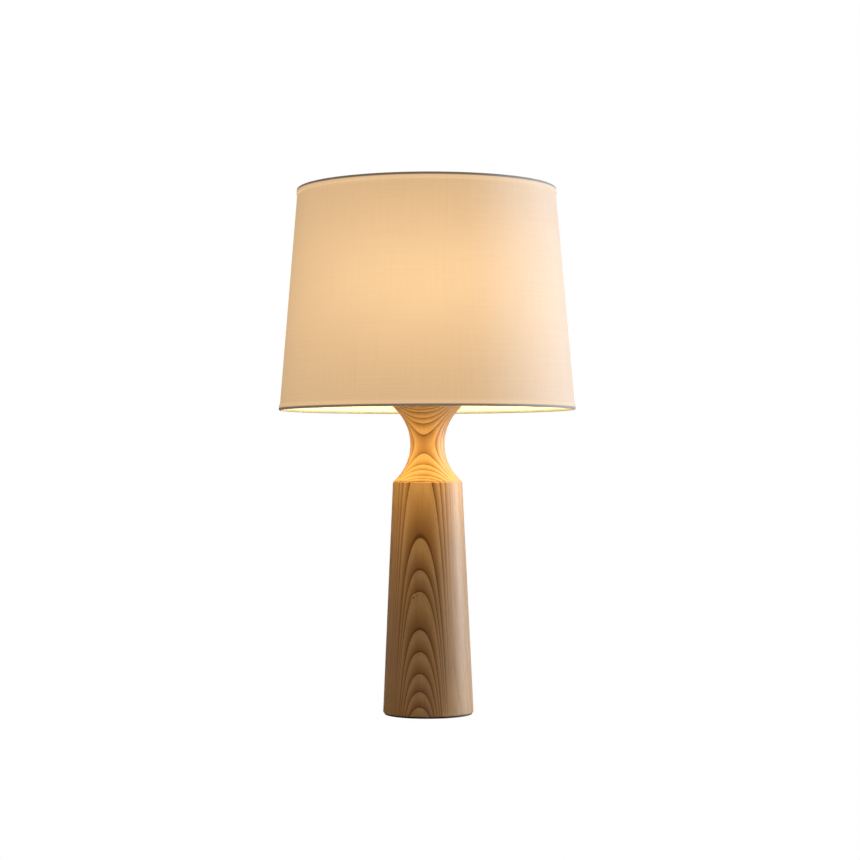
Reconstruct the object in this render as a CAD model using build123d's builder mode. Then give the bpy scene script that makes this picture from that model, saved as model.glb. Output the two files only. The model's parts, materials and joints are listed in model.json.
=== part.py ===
from build123d import *
import math
import os

# Column table lamp, in millimetres. +Z is up, the origin is on the table under the middle of the
# foot, and +Y points to the back of the lamp, where the cord leaves it. The harp lies in the XZ plane.

# Wooden body: a tapered column with an hourglass neck on top, both turned from ash
column_height = 272.0
column_foot_radius = 53.4
column_shoulder_radius = 40.9
column_edge_round = 1.2
shoulder_ledge = 1.1
neck_waist_radius = 20.2
neck_head_radius = 41.0
neck_foot_band = 0.8
neck_waist_height = 43.3
neck_flare_height = 44.2
neck_head_band = 11.7
neck_edge_round = 1.5
tenon_radius = 12.0
tenon_length = 8.0

# Base: felt, cover, iron ballast and the space for the wiring between them
felt_thickness = 2.0
felt_setback = 1.6
cover_thickness = 3.0
cover_ledge = 10.5
wiring_space = 12.0
foot_wall = 17.25
ballast_thickness = 18.0
cover_screw_count = 3
cover_screw_start = 30.0
cover_screw_radius = 1.6
cover_screw_head_radius = 3.2
cover_screw_head_depth = 1.6
cover_screw_length = 14.0
screw_slot_width = 0.8
screw_slot_depth = 0.8

# Lamp pipe and what clamps the wooden pieces on it
pipe_radius = 4.9
pipe_wall = 1.0
pipe_tail = 2.0
washer_radius = 14.0
washer_thickness = 1.5
nut_flats = 17.0
lower_nut_thickness = 5.0
upper_nut_thickness = 4.0
neck_cap_radius = 22.0
neck_cap_height = 6.0
neck_cap_round = 3.0
sheet_brass = 0.8

# Cord inlet at the back of the foot
inlet_radius = 3.6
inlet_floor_gap = 2.0
inlet_wall = 1.4
inlet_flange_radius = 7.0
inlet_flange_thickness = 2.0
inlet_barrel_length = 12.0
inlet_proud = 0.5

# Harp, its saddle, its two sleeves and the swivelling stud on its crown
harp_height = 203.0
harp_width = 108.0
harp_wire_radius = 1.8
harp_flare_rise = 36.0
harp_shoulder_drop = 48.0
harp_crown_width = 28.0
harp_foot_bend = 30.0
harp_flare_bend = 36.0
harp_shoulder_bend = 45.0
harp_crown_bend = 20.0
harp_boss_radius = 6.0
harp_boss_thickness = 4.0
saddle_span = 54.0
saddle_width = 12.0
saddle_thickness = 2.0
saddle_arm_height = 8.0
saddle_bend = 1.0
lap_length = 6.0
lap_foot = 2.0
lap_gap = 0.1
sleeve_length = 12.0
sleeve_wall = 0.9
sleeve_travel = 10.0
stud_radius = 3.175
stud_length = 12.0
stud_flange_radius = 6.5
stud_flange_thickness = 2.0
stud_neck_radius = 2.6
stud_rivet_radius = 4.2
stud_rivet_thickness = 1.4
stud_tip_chamfer = 0.6

# Lamp socket with its rotary switch
cap_boss_radius = 8.0
cap_boss_height = 4.0
cap_cup_height = 9.0
cap_round = 4.0
set_screw_radius = 1.2
socket_shell_wall = 0.6
socket_shell_lift = 3.0
socket_shell_rise = 8.0
socket_shell_lip = 1.4
liner_wall = 0.8
liner_air = 1.55
socket_body_height = 16.7
body_flat_distance = 10.0
body_flat_height = 11.0
wire_chamber_radius = 8.0
wire_chamber_depth = 5.0
terminal_screw_radius = 1.5
terminal_head_radius = 2.8
terminal_head_thickness = 1.6
terminal_depth = 3.0
screw_shell_height = 25.0
screw_shell_wall = 0.5
screw_shell_lip = 4.5
contact_plate_radius = 4.5
contact_plate_thickness = 0.8
contact_button_radius = 3.0
contact_button_thickness = 0.7
thread_pitch = 3.629
thread_depth = 0.55
switch_shaft_radius = 2.0
switch_shaft_clear_of_cap = 1.0
switch_shaft_depth = 9.0
switch_slot_gap = 0.6
knob_radius = 6.0
knob_length = 10.0
knob_standoff = 2.5
knob_face = 1.5
knob_grip_thickness = 4.0
knob_grip_length = 6.5

# Light bulb: the common pear shape, 60 mm across and 109 mm long
bulb_ball_radius = 30.0
bulb_cone_height = 43.2
bulb_glass = 1.0
bulb_neck_radius = 14.0
bulb_neck_rise = 9.0
bulb_cement_gap = 0.5
bulb_throat_depth = 6.0
bulb_cap_radius = 12.2
bulb_cap_wall = 0.5
bulb_cap_height = 22.5
bulb_contact_radius = 4.8
bulb_contact_thickness = 1.2
bulb_insulator_height = 3.3
bulb_insulator_nose = 6.0
bulb_insulator_spigot = 2.0
bulb_stem_radius = 3.0
bulb_stem_height = 58.0
bulb_stem_flare = 1.5
filament_width = 18.0
filament_rise = 18.0
filament_lead = 3.0
filament_lead_spacing = 3.0
filament_shoulder = 9.0
filament_radius = 0.4
filament_bend = 2.0

# Shade: a lined fabric drum on two wire rings, hung on a three-armed spider
shade_height = 260.6
shade_bottom_radius = 175.0
shade_top_radius = 153.0
spider_drop = 30.0
ring_wire_radius = 1.0
trim_thickness = 0.4
trim_band = 6.5
trim_flap = 5.0
trim_flat = 1.5
shade_liner_thickness = 0.6
shade_fabric_thickness = 0.5
spider_hub_radius = 12.7
spider_hub_thickness = 1.5
spider_arm_count = 3
spider_arm_start = 90.0
spider_arm_radius = 1.5
spider_arm_root = 10.0
spider_arm_bend = 8.0

# Finial that holds the shade on the harp
finial_foot_radius = 7.8
finial_foot_height = 2.0
finial_neck_radius = 6.8
finial_neck_height = 4.4
finial_ball_radius = 9.5
insert_radius = 5.0
insert_length = 11.0

# Fits and gaps
running_gap = 0.05
seat_gap = 0.15
loose_gap = 0.3
wood_gap = 0.6
thread_gap = 0.2
blind_end_gap = 0.5

# Heights of the stack, from the table up
column_bottom = felt_thickness
column_top = column_bottom + column_height
cove_bottom = column_top + neck_foot_band
waist_level = cove_bottom + neck_waist_height
cove_top = waist_level + neck_flare_height
neck_top = cove_top + neck_head_band
neck_cap_top = neck_top + neck_cap_height
saddle_bottom = neck_cap_top + upper_nut_thickness
saddle_top = saddle_bottom + saddle_thickness
sleeve_bottom = saddle_bottom + saddle_arm_height
shade_seat = saddle_bottom + harp_height

cover_top = column_bottom + cover_thickness
ballast_bottom = cover_top + wiring_space
ballast_top = ballast_bottom + ballast_thickness
washer_bottom = ballast_bottom - washer_thickness
lower_nut_bottom = washer_bottom - lower_nut_thickness
pipe_bottom = lower_nut_bottom - pipe_tail

cap_cup_bottom = saddle_top + cap_boss_height
cap_floor = cap_cup_bottom + sheet_brass
cap_rim = cap_cup_bottom + cap_cup_height
body_top = cap_floor + socket_body_height
contact_top = body_top + contact_plate_thickness + contact_button_thickness
screw_shell_top = body_top + screw_shell_height
socket_shell_bottom = cap_floor + socket_shell_lift
socket_shell_top = screw_shell_top + socket_shell_rise
pipe_top = cap_floor + sheet_brass
switch_level = cap_rim + switch_shaft_clear_of_cap + switch_shaft_radius

# Widths that follow from their neighbours
neck_foot_radius = column_shoulder_radius - shoulder_ledge
hole_radius = pipe_radius + wood_gap
recess_radius = column_foot_radius - foot_wall
rebate_radius = recess_radius + cover_ledge
cover_screw_circle = recess_radius + cover_ledge / 2
inlet_level = cover_top + inlet_floor_gap + inlet_wall + inlet_radius
cap_bore_radius = bulb_cap_radius - bulb_cap_wall
screw_shell_inside = bulb_cap_radius + thread_depth + thread_gap
socket_body_radius = screw_shell_inside + screw_shell_wall
liner_inside = socket_body_radius + thread_depth + liner_air
socket_shell_inside = liner_inside + liner_wall + running_gap
socket_shell_radius = socket_shell_inside + socket_shell_wall
cap_inside = socket_shell_radius + seat_gap

# Middle lines of the shade's rings, and the slope of its wall
roll_radius = ring_wire_radius + loose_gap + trim_thickness
bottom_ring_radius = shade_bottom_radius - roll_radius
top_ring_radius = shade_top_radius - roll_radius
top_ring_level = shade_seat + spider_drop
shade_top = top_ring_level + roll_radius
bottom_ring_level = shade_top - shade_height + roll_radius
wall_rise = top_ring_level - bottom_ring_level
wall_lean = bottom_ring_radius - top_ring_radius
wall_length = math.hypot(wall_rise, wall_lean)
slope_in = wall_lean / wall_length
slope_up = wall_rise / wall_length

seated = (Align.CENTER, Align.CENTER, Align.MIN)

os.makedirs("parts", exist_ok=True)


def write_part(piece, label):
    """Label a finished piece and write it under its own name."""
    piece.part.label = label
    export_step(piece.part, f"parts/{label}.step")


def facing_back(distance, level):
    """An upright plane behind the axis that faces the back, with its middle on the axis."""
    return Plane(origin=(0, distance, level), x_dir=(-1, 0, 0), z_dir=(0, 1, 0))


def facing_front(distance, level):
    """An upright plane before the axis that faces the front, with its middle on the axis."""
    return Plane(origin=(0, -distance, level), x_dir=(1, 0, 0), z_dir=(0, -1, 0))


def facing_side(distance, level, side):
    """An upright plane beside the axis that faces right (side 1) or left (side -1)."""
    return Plane(origin=(side * distance, 0, level), x_dir=(0, side, 0), z_dir=(side, 0, 0))


def disc(bottom, top, radius):
    """An upright solid cylinder between two levels."""
    with BuildPart() as made:
        with BuildSketch(Plane.XY.offset(bottom)):
            Circle(radius)
        extrude(amount=top - bottom)
    return made


def tube(bottom, top, outer, inner):
    """An upright tube between two levels."""
    with BuildPart() as made:
        with BuildSketch(Plane.XY.offset(bottom)):
            Circle(outer)
            Circle(inner, mode=Mode.SUBTRACT)
        extrude(amount=top - bottom)
    return made


def hex_nut(bottom, thickness):
    """A pipe nut: six flats round a bore that takes the lamp pipe."""
    with BuildPart() as made:
        with BuildSketch(Plane.XY.offset(bottom)):
            RegularPolygon(nut_flats / 2, 6, major_radius=False)
            Circle(pipe_radius + running_gap, mode=Mode.SUBTRACT)
        extrude(amount=thickness)
    return made


def beaded_tube(bottom, height, outer, inner, bead_radius):
    """An upright tube with a round bead outside at each thread pitch, smooth inside."""
    turns = math.floor(height / thread_pitch)
    with BuildPart() as made:
        with BuildSketch(Plane.XZ):
            with Locations(((outer + inner) / 2, bottom + height / 2)):
                Rectangle(outer - inner, height)
            for turn in range(turns):
                with Locations((outer, bottom + (turn + 0.5) * thread_pitch)):
                    Circle(bead_radius)
        revolve(axis=Axis.Z)
        with BuildSketch(Plane.XY.offset(bottom)):
            Circle(inner)
        extrude(amount=height, mode=Mode.SUBTRACT)
    return made


# Felt pad under the foot
felt_pad = disc(0, felt_thickness, column_foot_radius - felt_setback)
write_part(felt_pad, "felt_pad")

# Column: a straight taper with a stepped recess in its foot and a socket for the neck's tenon
inlet_taper = (column_foot_radius - column_shoulder_radius) / column_height
inlet_surface = column_foot_radius - inlet_taper * (inlet_level - column_bottom)
inlet_seat = inlet_surface + inlet_proud - inlet_flange_thickness
with BuildPart() as column:
    with BuildSketch(Plane.XZ):
        with BuildLine():
            Polyline(
                (0, column_bottom),
                (column_foot_radius, column_bottom),
                (column_shoulder_radius, column_top),
                (0, column_top),
                close=True,
            )
        make_face()
    revolve(axis=Axis.Z)
    fillet(column.edges().filter_by(GeomType.CIRCLE), column_edge_round)
    with BuildSketch(Plane.XY.offset(column_bottom)):
        Circle(rebate_radius)
    extrude(amount=cover_thickness, mode=Mode.SUBTRACT)
    with BuildSketch(Plane.XY.offset(cover_top)):
        Circle(recess_radius)
    extrude(amount=ballast_top - cover_top, mode=Mode.SUBTRACT)
    with BuildSketch(Plane.XY.offset(ballast_top)):
        Circle(hole_radius)
    extrude(amount=column_top - ballast_top, mode=Mode.SUBTRACT)
    with BuildSketch(Plane.XY.offset(column_top)):
        Circle(tenon_radius + seat_gap)
    extrude(amount=-(tenon_length + blind_end_gap), mode=Mode.SUBTRACT)
    # Cross hole for the cord, with a flat seat for the flange of its bushing
    with BuildSketch(facing_back(0, inlet_level)):
        Circle(inlet_radius + inlet_wall + running_gap)
    extrude(amount=column_foot_radius, mode=Mode.SUBTRACT)
    with BuildSketch(facing_back(inlet_seat, inlet_level)):
        Circle(inlet_flange_radius + seat_gap)
    extrude(amount=column_foot_radius, mode=Mode.SUBTRACT)
    # Pilot holes for the screws of the cover
    with BuildSketch(Plane.XY.offset(cover_top)):
        with PolarLocations(cover_screw_circle, cover_screw_count, start_angle=cover_screw_start):
            Circle(cover_screw_radius + running_gap)
    extrude(amount=cover_screw_length - cover_thickness + blind_end_gap, mode=Mode.SUBTRACT)
write_part(column, "column")

# Neck: foot band, hourglass of two arcs that meet upright at the waist, head band and tenon
with BuildPart() as neck:
    with BuildSketch(Plane.XZ):
        with BuildLine():
            waist = (neck_waist_radius, waist_level)
            Polyline((0, neck_top), (0, column_top), (neck_foot_radius, column_top))
            Line((neck_foot_radius, column_top), (neck_foot_radius, cove_bottom))
            TangentArc(waist, (neck_foot_radius, cove_bottom), tangent=(0, -1))
            TangentArc(waist, (neck_head_radius, cove_top), tangent=(0, 1))
            Polyline((neck_head_radius, cove_top), (neck_head_radius, neck_top), (0, neck_top))
        make_face()
    revolve(axis=Axis.Z)
    fillet(neck.faces().sort_by(Axis.Z)[-1].edges(), neck_edge_round)
    with BuildSketch(Plane.XY.offset(column_top)):
        Circle(tenon_radius)
    extrude(amount=-tenon_length)
    with BuildSketch(Plane.XY.offset(column_top - tenon_length)):
        Circle(hole_radius)
    extrude(amount=tenon_length + neck_top - column_top, mode=Mode.SUBTRACT)
write_part(neck, "neck")

# Base cover: a fibre disc in the rebate of the foot, with countersunk holes
with BuildPart(Plane.XY.offset(column_bottom)) as base_cover:
    Cylinder(rebate_radius - seat_gap, cover_thickness, align=seated)
    with PolarLocations(cover_screw_circle, cover_screw_count, start_angle=cover_screw_start):
        Cylinder(cover_screw_radius + running_gap, cover_thickness, align=seated, mode=Mode.SUBTRACT)
        Cone(
            cover_screw_head_radius + running_gap,
            cover_screw_radius + running_gap,
            cover_screw_head_depth,
            align=seated,
            mode=Mode.SUBTRACT,
        )
write_part(base_cover, "base_cover")

# Wood screws of the base cover, flush with its face, each with a slot across the head
with BuildPart(Plane.XY.offset(column_bottom)) as base_cover_screws:
    with PolarLocations(cover_screw_circle, cover_screw_count, start_angle=cover_screw_start):
        Cone(cover_screw_head_radius, cover_screw_radius, cover_screw_head_depth, align=seated)
        Cylinder(cover_screw_radius, cover_screw_length, align=seated)
        Box(
            cover_screw_head_radius * 2,
            screw_slot_width,
            screw_slot_depth,
            align=seated,
            mode=Mode.SUBTRACT,
        )
write_part(base_cover_screws, "base_cover_screws")

# Iron ballast, the threaded lamp pipe, and the washer and nuts that clamp the wood on it
ballast_weight = tube(ballast_bottom, ballast_top, recess_radius - seat_gap, hole_radius)
write_part(ballast_weight, "ballast_weight")

lower_washer = tube(washer_bottom, ballast_bottom, washer_radius, pipe_radius + seat_gap)
write_part(lower_washer, "lower_washer")

lower_nut = hex_nut(lower_nut_bottom, lower_nut_thickness)
write_part(lower_nut, "lower_nut")

lamp_pipe = tube(pipe_bottom, pipe_top, pipe_radius, pipe_radius - pipe_wall)
write_part(lamp_pipe, "lamp_pipe")

upper_nut = hex_nut(neck_cap_top, upper_nut_thickness)
write_part(upper_nut, "upper_nut")

# Cord bushing: a flanged sleeve pressed into the back of the foot
with BuildPart() as cord_bushing:
    with BuildSketch(facing_back(inlet_seat, inlet_level)):
        Circle(inlet_flange_radius)
    extrude(amount=inlet_flange_thickness)
    with BuildSketch(facing_back(inlet_seat, inlet_level)):
        Circle(inlet_radius + inlet_wall)
    extrude(amount=-inlet_barrel_length)
    with BuildSketch(facing_back(inlet_seat + inlet_flange_thickness, inlet_level)):
        Circle(inlet_radius)
    extrude(amount=-(inlet_flange_thickness + inlet_barrel_length), mode=Mode.SUBTRACT)
write_part(cord_bushing, "cord_bushing")

# Neck cap: a spun brass cup, mouth down, on top of the neck
with BuildPart() as neck_cap:
    with BuildSketch(Plane.XY.offset(neck_top)):
        Circle(neck_cap_radius)
    extrude(amount=neck_cap_height)
    fillet(neck_cap.faces().sort_by(Axis.Z)[-1].edges(), neck_cap_round)
    offset(amount=-sheet_brass, openings=neck_cap.faces().sort_by(Axis.Z)[0])
    with BuildSketch(Plane.XY.offset(neck_top)):
        Circle(pipe_radius + seat_gap)
    extrude(amount=neck_cap_height, mode=Mode.SUBTRACT)
write_part(neck_cap, "neck_cap")

# Harp saddle: a strip bent up at both ends, with a half-lapped post on each end
saddle_half = saddle_span / 2
lap_bottom = sleeve_bottom + lap_foot
lap_top = lap_bottom + lap_length
with BuildPart() as harp_saddle:
    with BuildSketch(Plane.XZ) as saddle_outside:
        with Locations((0, (saddle_bottom + sleeve_bottom) / 2)):
            Rectangle(saddle_span + saddle_thickness, saddle_arm_height)
        fillet(saddle_outside.vertices().group_by(Axis.Y)[0], saddle_bend + saddle_thickness)
    extrude(amount=saddle_width / 2, both=True)
    with BuildSketch(Plane.XZ) as saddle_inside:
        with Locations((0, (saddle_top + sleeve_bottom) / 2)):
            Rectangle(saddle_span - saddle_thickness, sleeve_bottom - saddle_top)
        fillet(saddle_inside.vertices().group_by(Axis.Y)[0], saddle_bend)
    extrude(amount=saddle_width / 2, both=True, mode=Mode.SUBTRACT)
    with BuildSketch(Plane.XY.offset(sleeve_bottom - saddle_thickness)):
        with Locations((saddle_half, 0), (-saddle_half, 0)):
            Circle(harp_wire_radius)
    extrude(amount=lap_top - sleeve_bottom + saddle_thickness)
    # The outer half of each post is cut away, for the end of the harp
    with BuildSketch(Plane.XY.offset(lap_bottom)):
        with Locations((saddle_half + harp_wire_radius, 0), (-saddle_half - harp_wire_radius, 0)):
            Rectangle(2 * harp_wire_radius, saddle_width)
    extrude(amount=lap_length, mode=Mode.SUBTRACT)
    with BuildSketch(Plane.XY.offset(saddle_bottom)):
        Circle(pipe_radius + seat_gap)
    extrude(amount=saddle_thickness, mode=Mode.SUBTRACT)
write_part(harp_saddle, "harp_saddle")

# Harp: one bent wire with a boss on its crown; its ends are half-lapped on the saddle's posts
boss_top = shade_seat - stud_flange_thickness
boss_bottom = boss_top - harp_boss_thickness
crown_level = (boss_top + boss_bottom) / 2
leg_bottom = lap_bottom + lap_gap
leg_lap_top = lap_top + lap_gap
harp_half = harp_width / 2
crown_half = harp_crown_width / 2
# The legs stay straight as far as their sleeves slide
foot_turn = math.atan2(harp_half - saddle_half, harp_flare_rise)
foot_bend_run = harp_foot_bend * math.tan(foot_turn / 2)
foot_bend_level = sleeve_bottom + sleeve_length + sleeve_travel + loose_gap + foot_bend_run
with BuildPart() as harp:
    with BuildLine(Plane.XZ) as harp_wire:
        FilletPolyline(
            (-saddle_half, leg_bottom),
            (-saddle_half, foot_bend_level),
            (-harp_half, foot_bend_level + harp_flare_rise),
            (-harp_half, crown_level - harp_shoulder_drop),
            (-crown_half, crown_level),
            (crown_half, crown_level),
            (harp_half, crown_level - harp_shoulder_drop),
            (harp_half, foot_bend_level + harp_flare_rise),
            (saddle_half, foot_bend_level),
            (saddle_half, leg_bottom),
            radius=[
                harp_foot_bend,
                harp_flare_bend,
                harp_shoulder_bend,
                harp_crown_bend,
                harp_crown_bend,
                harp_shoulder_bend,
                harp_flare_bend,
                harp_foot_bend,
            ],
        )
    with BuildSketch(Plane(origin=harp_wire.line @ 0, z_dir=harp_wire.line % 0)):
        Circle(harp_wire_radius)
    sweep()
    with BuildSketch(Plane.XY.offset(boss_bottom)):
        Circle(harp_boss_radius)
    extrude(amount=harp_boss_thickness)
    with BuildSketch(Plane.XY.offset(boss_bottom)):
        Circle(stud_neck_radius + running_gap)
    extrude(amount=harp_boss_thickness, mode=Mode.SUBTRACT)
    # The inner half of each leg's end is cut away, for the saddle's post
    lap_middle = saddle_half - harp_wire_radius + running_gap
    with BuildSketch(Plane.XY.offset(leg_bottom)):
        with Locations((lap_middle, 0), (-lap_middle, 0)):
            Rectangle(2 * harp_wire_radius, saddle_width)
    extrude(amount=leg_lap_top - leg_bottom, mode=Mode.SUBTRACT)
write_part(harp, "harp")

# Sleeves that slide down over the two laps and lock the harp on its saddle
for side, side_name in ((-1, "left"), (1, "right")):
    with BuildPart() as harp_sleeve:
        with BuildSketch(Plane.XY.offset(sleeve_bottom)):
            with Locations((side * saddle_half, 0)):
                Circle(harp_wire_radius + loose_gap + sleeve_wall)
                Circle(harp_wire_radius + loose_gap, mode=Mode.SUBTRACT)
        extrude(amount=sleeve_length)
    write_part(harp_sleeve, f"harp_sleeve_{side_name}")

# Harp stud: riveted through the crown so that it turns, with a flange for the shade
with BuildPart() as harp_stud:
    with BuildSketch(Plane.XY.offset(boss_bottom - running_gap - stud_rivet_thickness)):
        Circle(stud_rivet_radius)
    extrude(amount=stud_rivet_thickness)
    with BuildSketch(Plane.XY.offset(boss_bottom - running_gap)):
        Circle(stud_neck_radius)
    extrude(amount=boss_top - boss_bottom + running_gap)
    with BuildSketch(Plane.XY.offset(boss_top)):
        Circle(stud_flange_radius)
    extrude(amount=stud_flange_thickness)
    with BuildSketch(Plane.XY.offset(shade_seat)):
        Circle(stud_radius)
    extrude(amount=stud_length)
    chamfer(harp_stud.faces().sort_by(Axis.Z)[-1].edges(), stud_tip_chamfer)
write_part(harp_stud, "harp_stud")

# Socket cap: a brass cup on a threaded boss, held on the pipe by a headless screw at the back
boss_middle = saddle_top + cap_boss_height / 2
with BuildPart() as socket_cap:
    with BuildSketch(Plane.XY.offset(cap_cup_bottom)):
        Circle(cap_inside + sheet_brass)
    extrude(amount=cap_cup_height)
    fillet(socket_cap.faces().sort_by(Axis.Z)[0].edges(), cap_round)
    offset(amount=-sheet_brass, openings=socket_cap.faces().sort_by(Axis.Z)[-1])
    with BuildSketch(Plane.XY.offset(saddle_top)):
        Circle(cap_boss_radius)
    extrude(amount=cap_boss_height)
    with BuildSketch(Plane.XY.offset(saddle_top)):
        Circle(pipe_radius + running_gap)
    extrude(amount=cap_boss_height + sheet_brass, mode=Mode.SUBTRACT)
    with BuildSketch(facing_back(pipe_radius, boss_middle)):
        Circle(set_screw_radius + running_gap)
    extrude(amount=cap_boss_radius, mode=Mode.SUBTRACT)
write_part(socket_cap, "socket_cap")

with BuildPart() as socket_set_screw:
    with BuildSketch(facing_back(pipe_radius + running_gap, boss_middle)):
        Circle(set_screw_radius)
    extrude(amount=cap_boss_radius - pipe_radius - running_gap)
    with BuildSketch(facing_back(cap_boss_radius, boss_middle)):
        Rectangle(2 * set_screw_radius, screw_slot_width)
    extrude(amount=-screw_slot_depth, mode=Mode.SUBTRACT)
write_part(socket_set_screw, "socket_set_screw")

# Socket body: insulating block with a wiring chamber, two flats for the terminals and the
# bore of the switch shaft
terminal_level = cap_floor + wire_chamber_depth + terminal_head_radius
with BuildPart() as socket_body:
    with BuildSketch(Plane.XY.offset(cap_floor)):
        Circle(socket_body_radius)
    extrude(amount=socket_body_height)
    with BuildSketch(Plane.XY.offset(cap_floor)):
        Circle(wire_chamber_radius)
    extrude(amount=wire_chamber_depth, mode=Mode.SUBTRACT)
    for side in (-1, 1):
        with BuildSketch(Plane.XY.offset(cap_floor)):
            with Locations((side * (body_flat_distance + socket_body_radius), 0)):
                Rectangle(2 * socket_body_radius, 2 * socket_body_radius)
        extrude(amount=body_flat_height, mode=Mode.SUBTRACT)
        with BuildSketch(facing_side(body_flat_distance, terminal_level, side)):
            Circle(terminal_screw_radius + running_gap)
        extrude(amount=-(terminal_depth + running_gap), mode=Mode.SUBTRACT)
    with BuildSketch(facing_front(socket_body_radius, switch_level)):
        Circle(switch_shaft_radius + running_gap)
    extrude(amount=-(switch_shaft_depth + running_gap), mode=Mode.SUBTRACT)
write_part(socket_body, "socket_body")

# Terminal screws: a round slotted head against each flat
with BuildPart() as terminal_screws:
    for side in (-1, 1):
        with BuildSketch(facing_side(body_flat_distance, terminal_level, side)):
            Circle(terminal_head_radius)
        extrude(amount=terminal_head_thickness)
        with BuildSketch(facing_side(body_flat_distance, terminal_level, side)):
            Circle(terminal_screw_radius)
        extrude(amount=-terminal_depth)
        with BuildSketch(facing_side(body_flat_distance + terminal_head_thickness, terminal_level, side)):
            Rectangle(2 * terminal_head_radius, screw_slot_width)
        extrude(amount=-screw_slot_depth, mode=Mode.SUBTRACT)
write_part(terminal_screws, "terminal_screws")


# The slot that lets the shell and its liner drop over the switch shaft from above
slot_half = switch_shaft_radius + switch_slot_gap
slot_drop = switch_level - socket_shell_bottom
with BuildPart() as shaft_slot:
    with BuildSketch(facing_front(0, switch_level)):
        Circle(slot_half)
        with Locations((0, -slot_drop / 2)):
            Rectangle(2 * slot_half, slot_drop)
    extrude(amount=socket_shell_radius)

# Socket shell: a brass tube with its top edge turned in, and the card liner inside it
liner_top = socket_shell_top - socket_shell_wall
with BuildPart() as socket_shell:
    with BuildSketch(Plane.XY.offset(socket_shell_bottom)):
        Circle(socket_shell_radius)
    extrude(amount=socket_shell_top - socket_shell_bottom)
    with BuildSketch(Plane.XY.offset(socket_shell_bottom)):
        Circle(socket_shell_inside)
    extrude(amount=liner_top - socket_shell_bottom, mode=Mode.SUBTRACT)
    with BuildSketch(Plane.XY.offset(liner_top)):
        Circle(socket_shell_inside - socket_shell_lip)
    extrude(amount=socket_shell_wall, mode=Mode.SUBTRACT)
    add(shaft_slot.part, mode=Mode.SUBTRACT)
write_part(socket_shell, "socket_shell")

with BuildPart() as socket_liner:
    with BuildSketch(Plane.XY.offset(socket_shell_bottom)):
        Circle(liner_inside + liner_wall)
        Circle(liner_inside, mode=Mode.SUBTRACT)
    extrude(amount=liner_top - socket_shell_bottom)
    add(shaft_slot.part, mode=Mode.SUBTRACT)
write_part(socket_liner, "socket_liner")

# Screw shell of the socket: a beaded tube on a turned-in foot
with BuildPart() as screw_shell:
    add(
        beaded_tube(
            body_top,
            screw_shell_height,
            socket_body_radius,
            screw_shell_inside,
            thread_depth,
        ).part
    )
    with BuildSketch(Plane.XY.offset(body_top)):
        Circle(socket_body_radius)
        Circle(screw_shell_inside - screw_shell_lip, mode=Mode.SUBTRACT)
    extrude(amount=screw_shell_wall)
write_part(screw_shell, "screw_shell")

# Centre contact: a plate with a raised button that meets the tip of the bulb
with BuildPart() as center_contact:
    with BuildSketch(Plane.XY.offset(body_top)):
        Circle(contact_plate_radius)
    extrude(amount=contact_plate_thickness)
    with BuildSketch(Plane.XY.offset(body_top + contact_plate_thickness)):
        Circle(contact_button_radius)
    extrude(amount=contact_button_thickness)
write_part(center_contact, "center_contact")

# Rotary switch: a shaft out of the front of the socket, with a knob that has a flat grip
knob_base = socket_shell_radius + knob_standoff
shaft_end = socket_body_radius - switch_shaft_depth
with BuildPart() as switch_shaft:
    with BuildSketch(facing_front(shaft_end, switch_level)):
        Circle(switch_shaft_radius)
    extrude(amount=knob_base + knob_length - knob_face - shaft_end)
write_part(switch_shaft, "switch_shaft")

with BuildPart() as switch_knob:
    with BuildSketch(facing_front(knob_base, switch_level)):
        Circle(knob_radius)
    extrude(amount=knob_length)
    with BuildSketch(facing_front(knob_base + knob_length, switch_level)):
        for side in (-1, 1):
            with Locations((0, side * (knob_grip_thickness / 2 + knob_radius))):
                Rectangle(2 * knob_radius, 2 * knob_radius)
    extrude(amount=-knob_grip_length, mode=Mode.SUBTRACT)
    with BuildSketch(facing_front(knob_base, switch_level)):
        Circle(switch_shaft_radius + running_gap)
    extrude(amount=knob_length - knob_face, mode=Mode.SUBTRACT)
write_part(switch_knob, "switch_knob")

# Bulb, from its tip up: contact button, insulator, screw cap, glass, stem and filament
bulb_tip = contact_top
insulator_bottom = bulb_tip + bulb_contact_thickness
bulb_cap_bottom = insulator_bottom + bulb_insulator_height
bulb_cap_top = bulb_cap_bottom + bulb_cap_height
bulb_mouth = bulb_cap_top - bulb_throat_depth
bulb_neck_level = bulb_cap_top + bulb_neck_rise
ball_level = bulb_neck_level + bulb_cone_height
throat_radius = cap_bore_radius - bulb_cement_gap

bulb_contact = disc(bulb_tip, insulator_bottom, bulb_contact_radius)
write_part(bulb_contact, "bulb_contact")

with BuildPart() as bulb_insulator:
    with BuildSketch(Plane.XZ):
        with BuildLine():
            Polyline(
                (0, insulator_bottom),
                (bulb_insulator_nose, insulator_bottom),
                (bulb_cap_radius, bulb_cap_bottom),
                (cap_bore_radius - running_gap, bulb_cap_bottom),
                (cap_bore_radius - running_gap, bulb_cap_bottom + bulb_insulator_spigot),
                (0, bulb_cap_bottom + bulb_insulator_spigot),
                close=True,
            )
        make_face()
    revolve(axis=Axis.Z)
write_part(bulb_insulator, "bulb_insulator")

bulb_cap = beaded_tube(bulb_cap_bottom, bulb_cap_height, bulb_cap_radius, cap_bore_radius, thread_depth)
write_part(bulb_cap, "bulb_cap")


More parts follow.
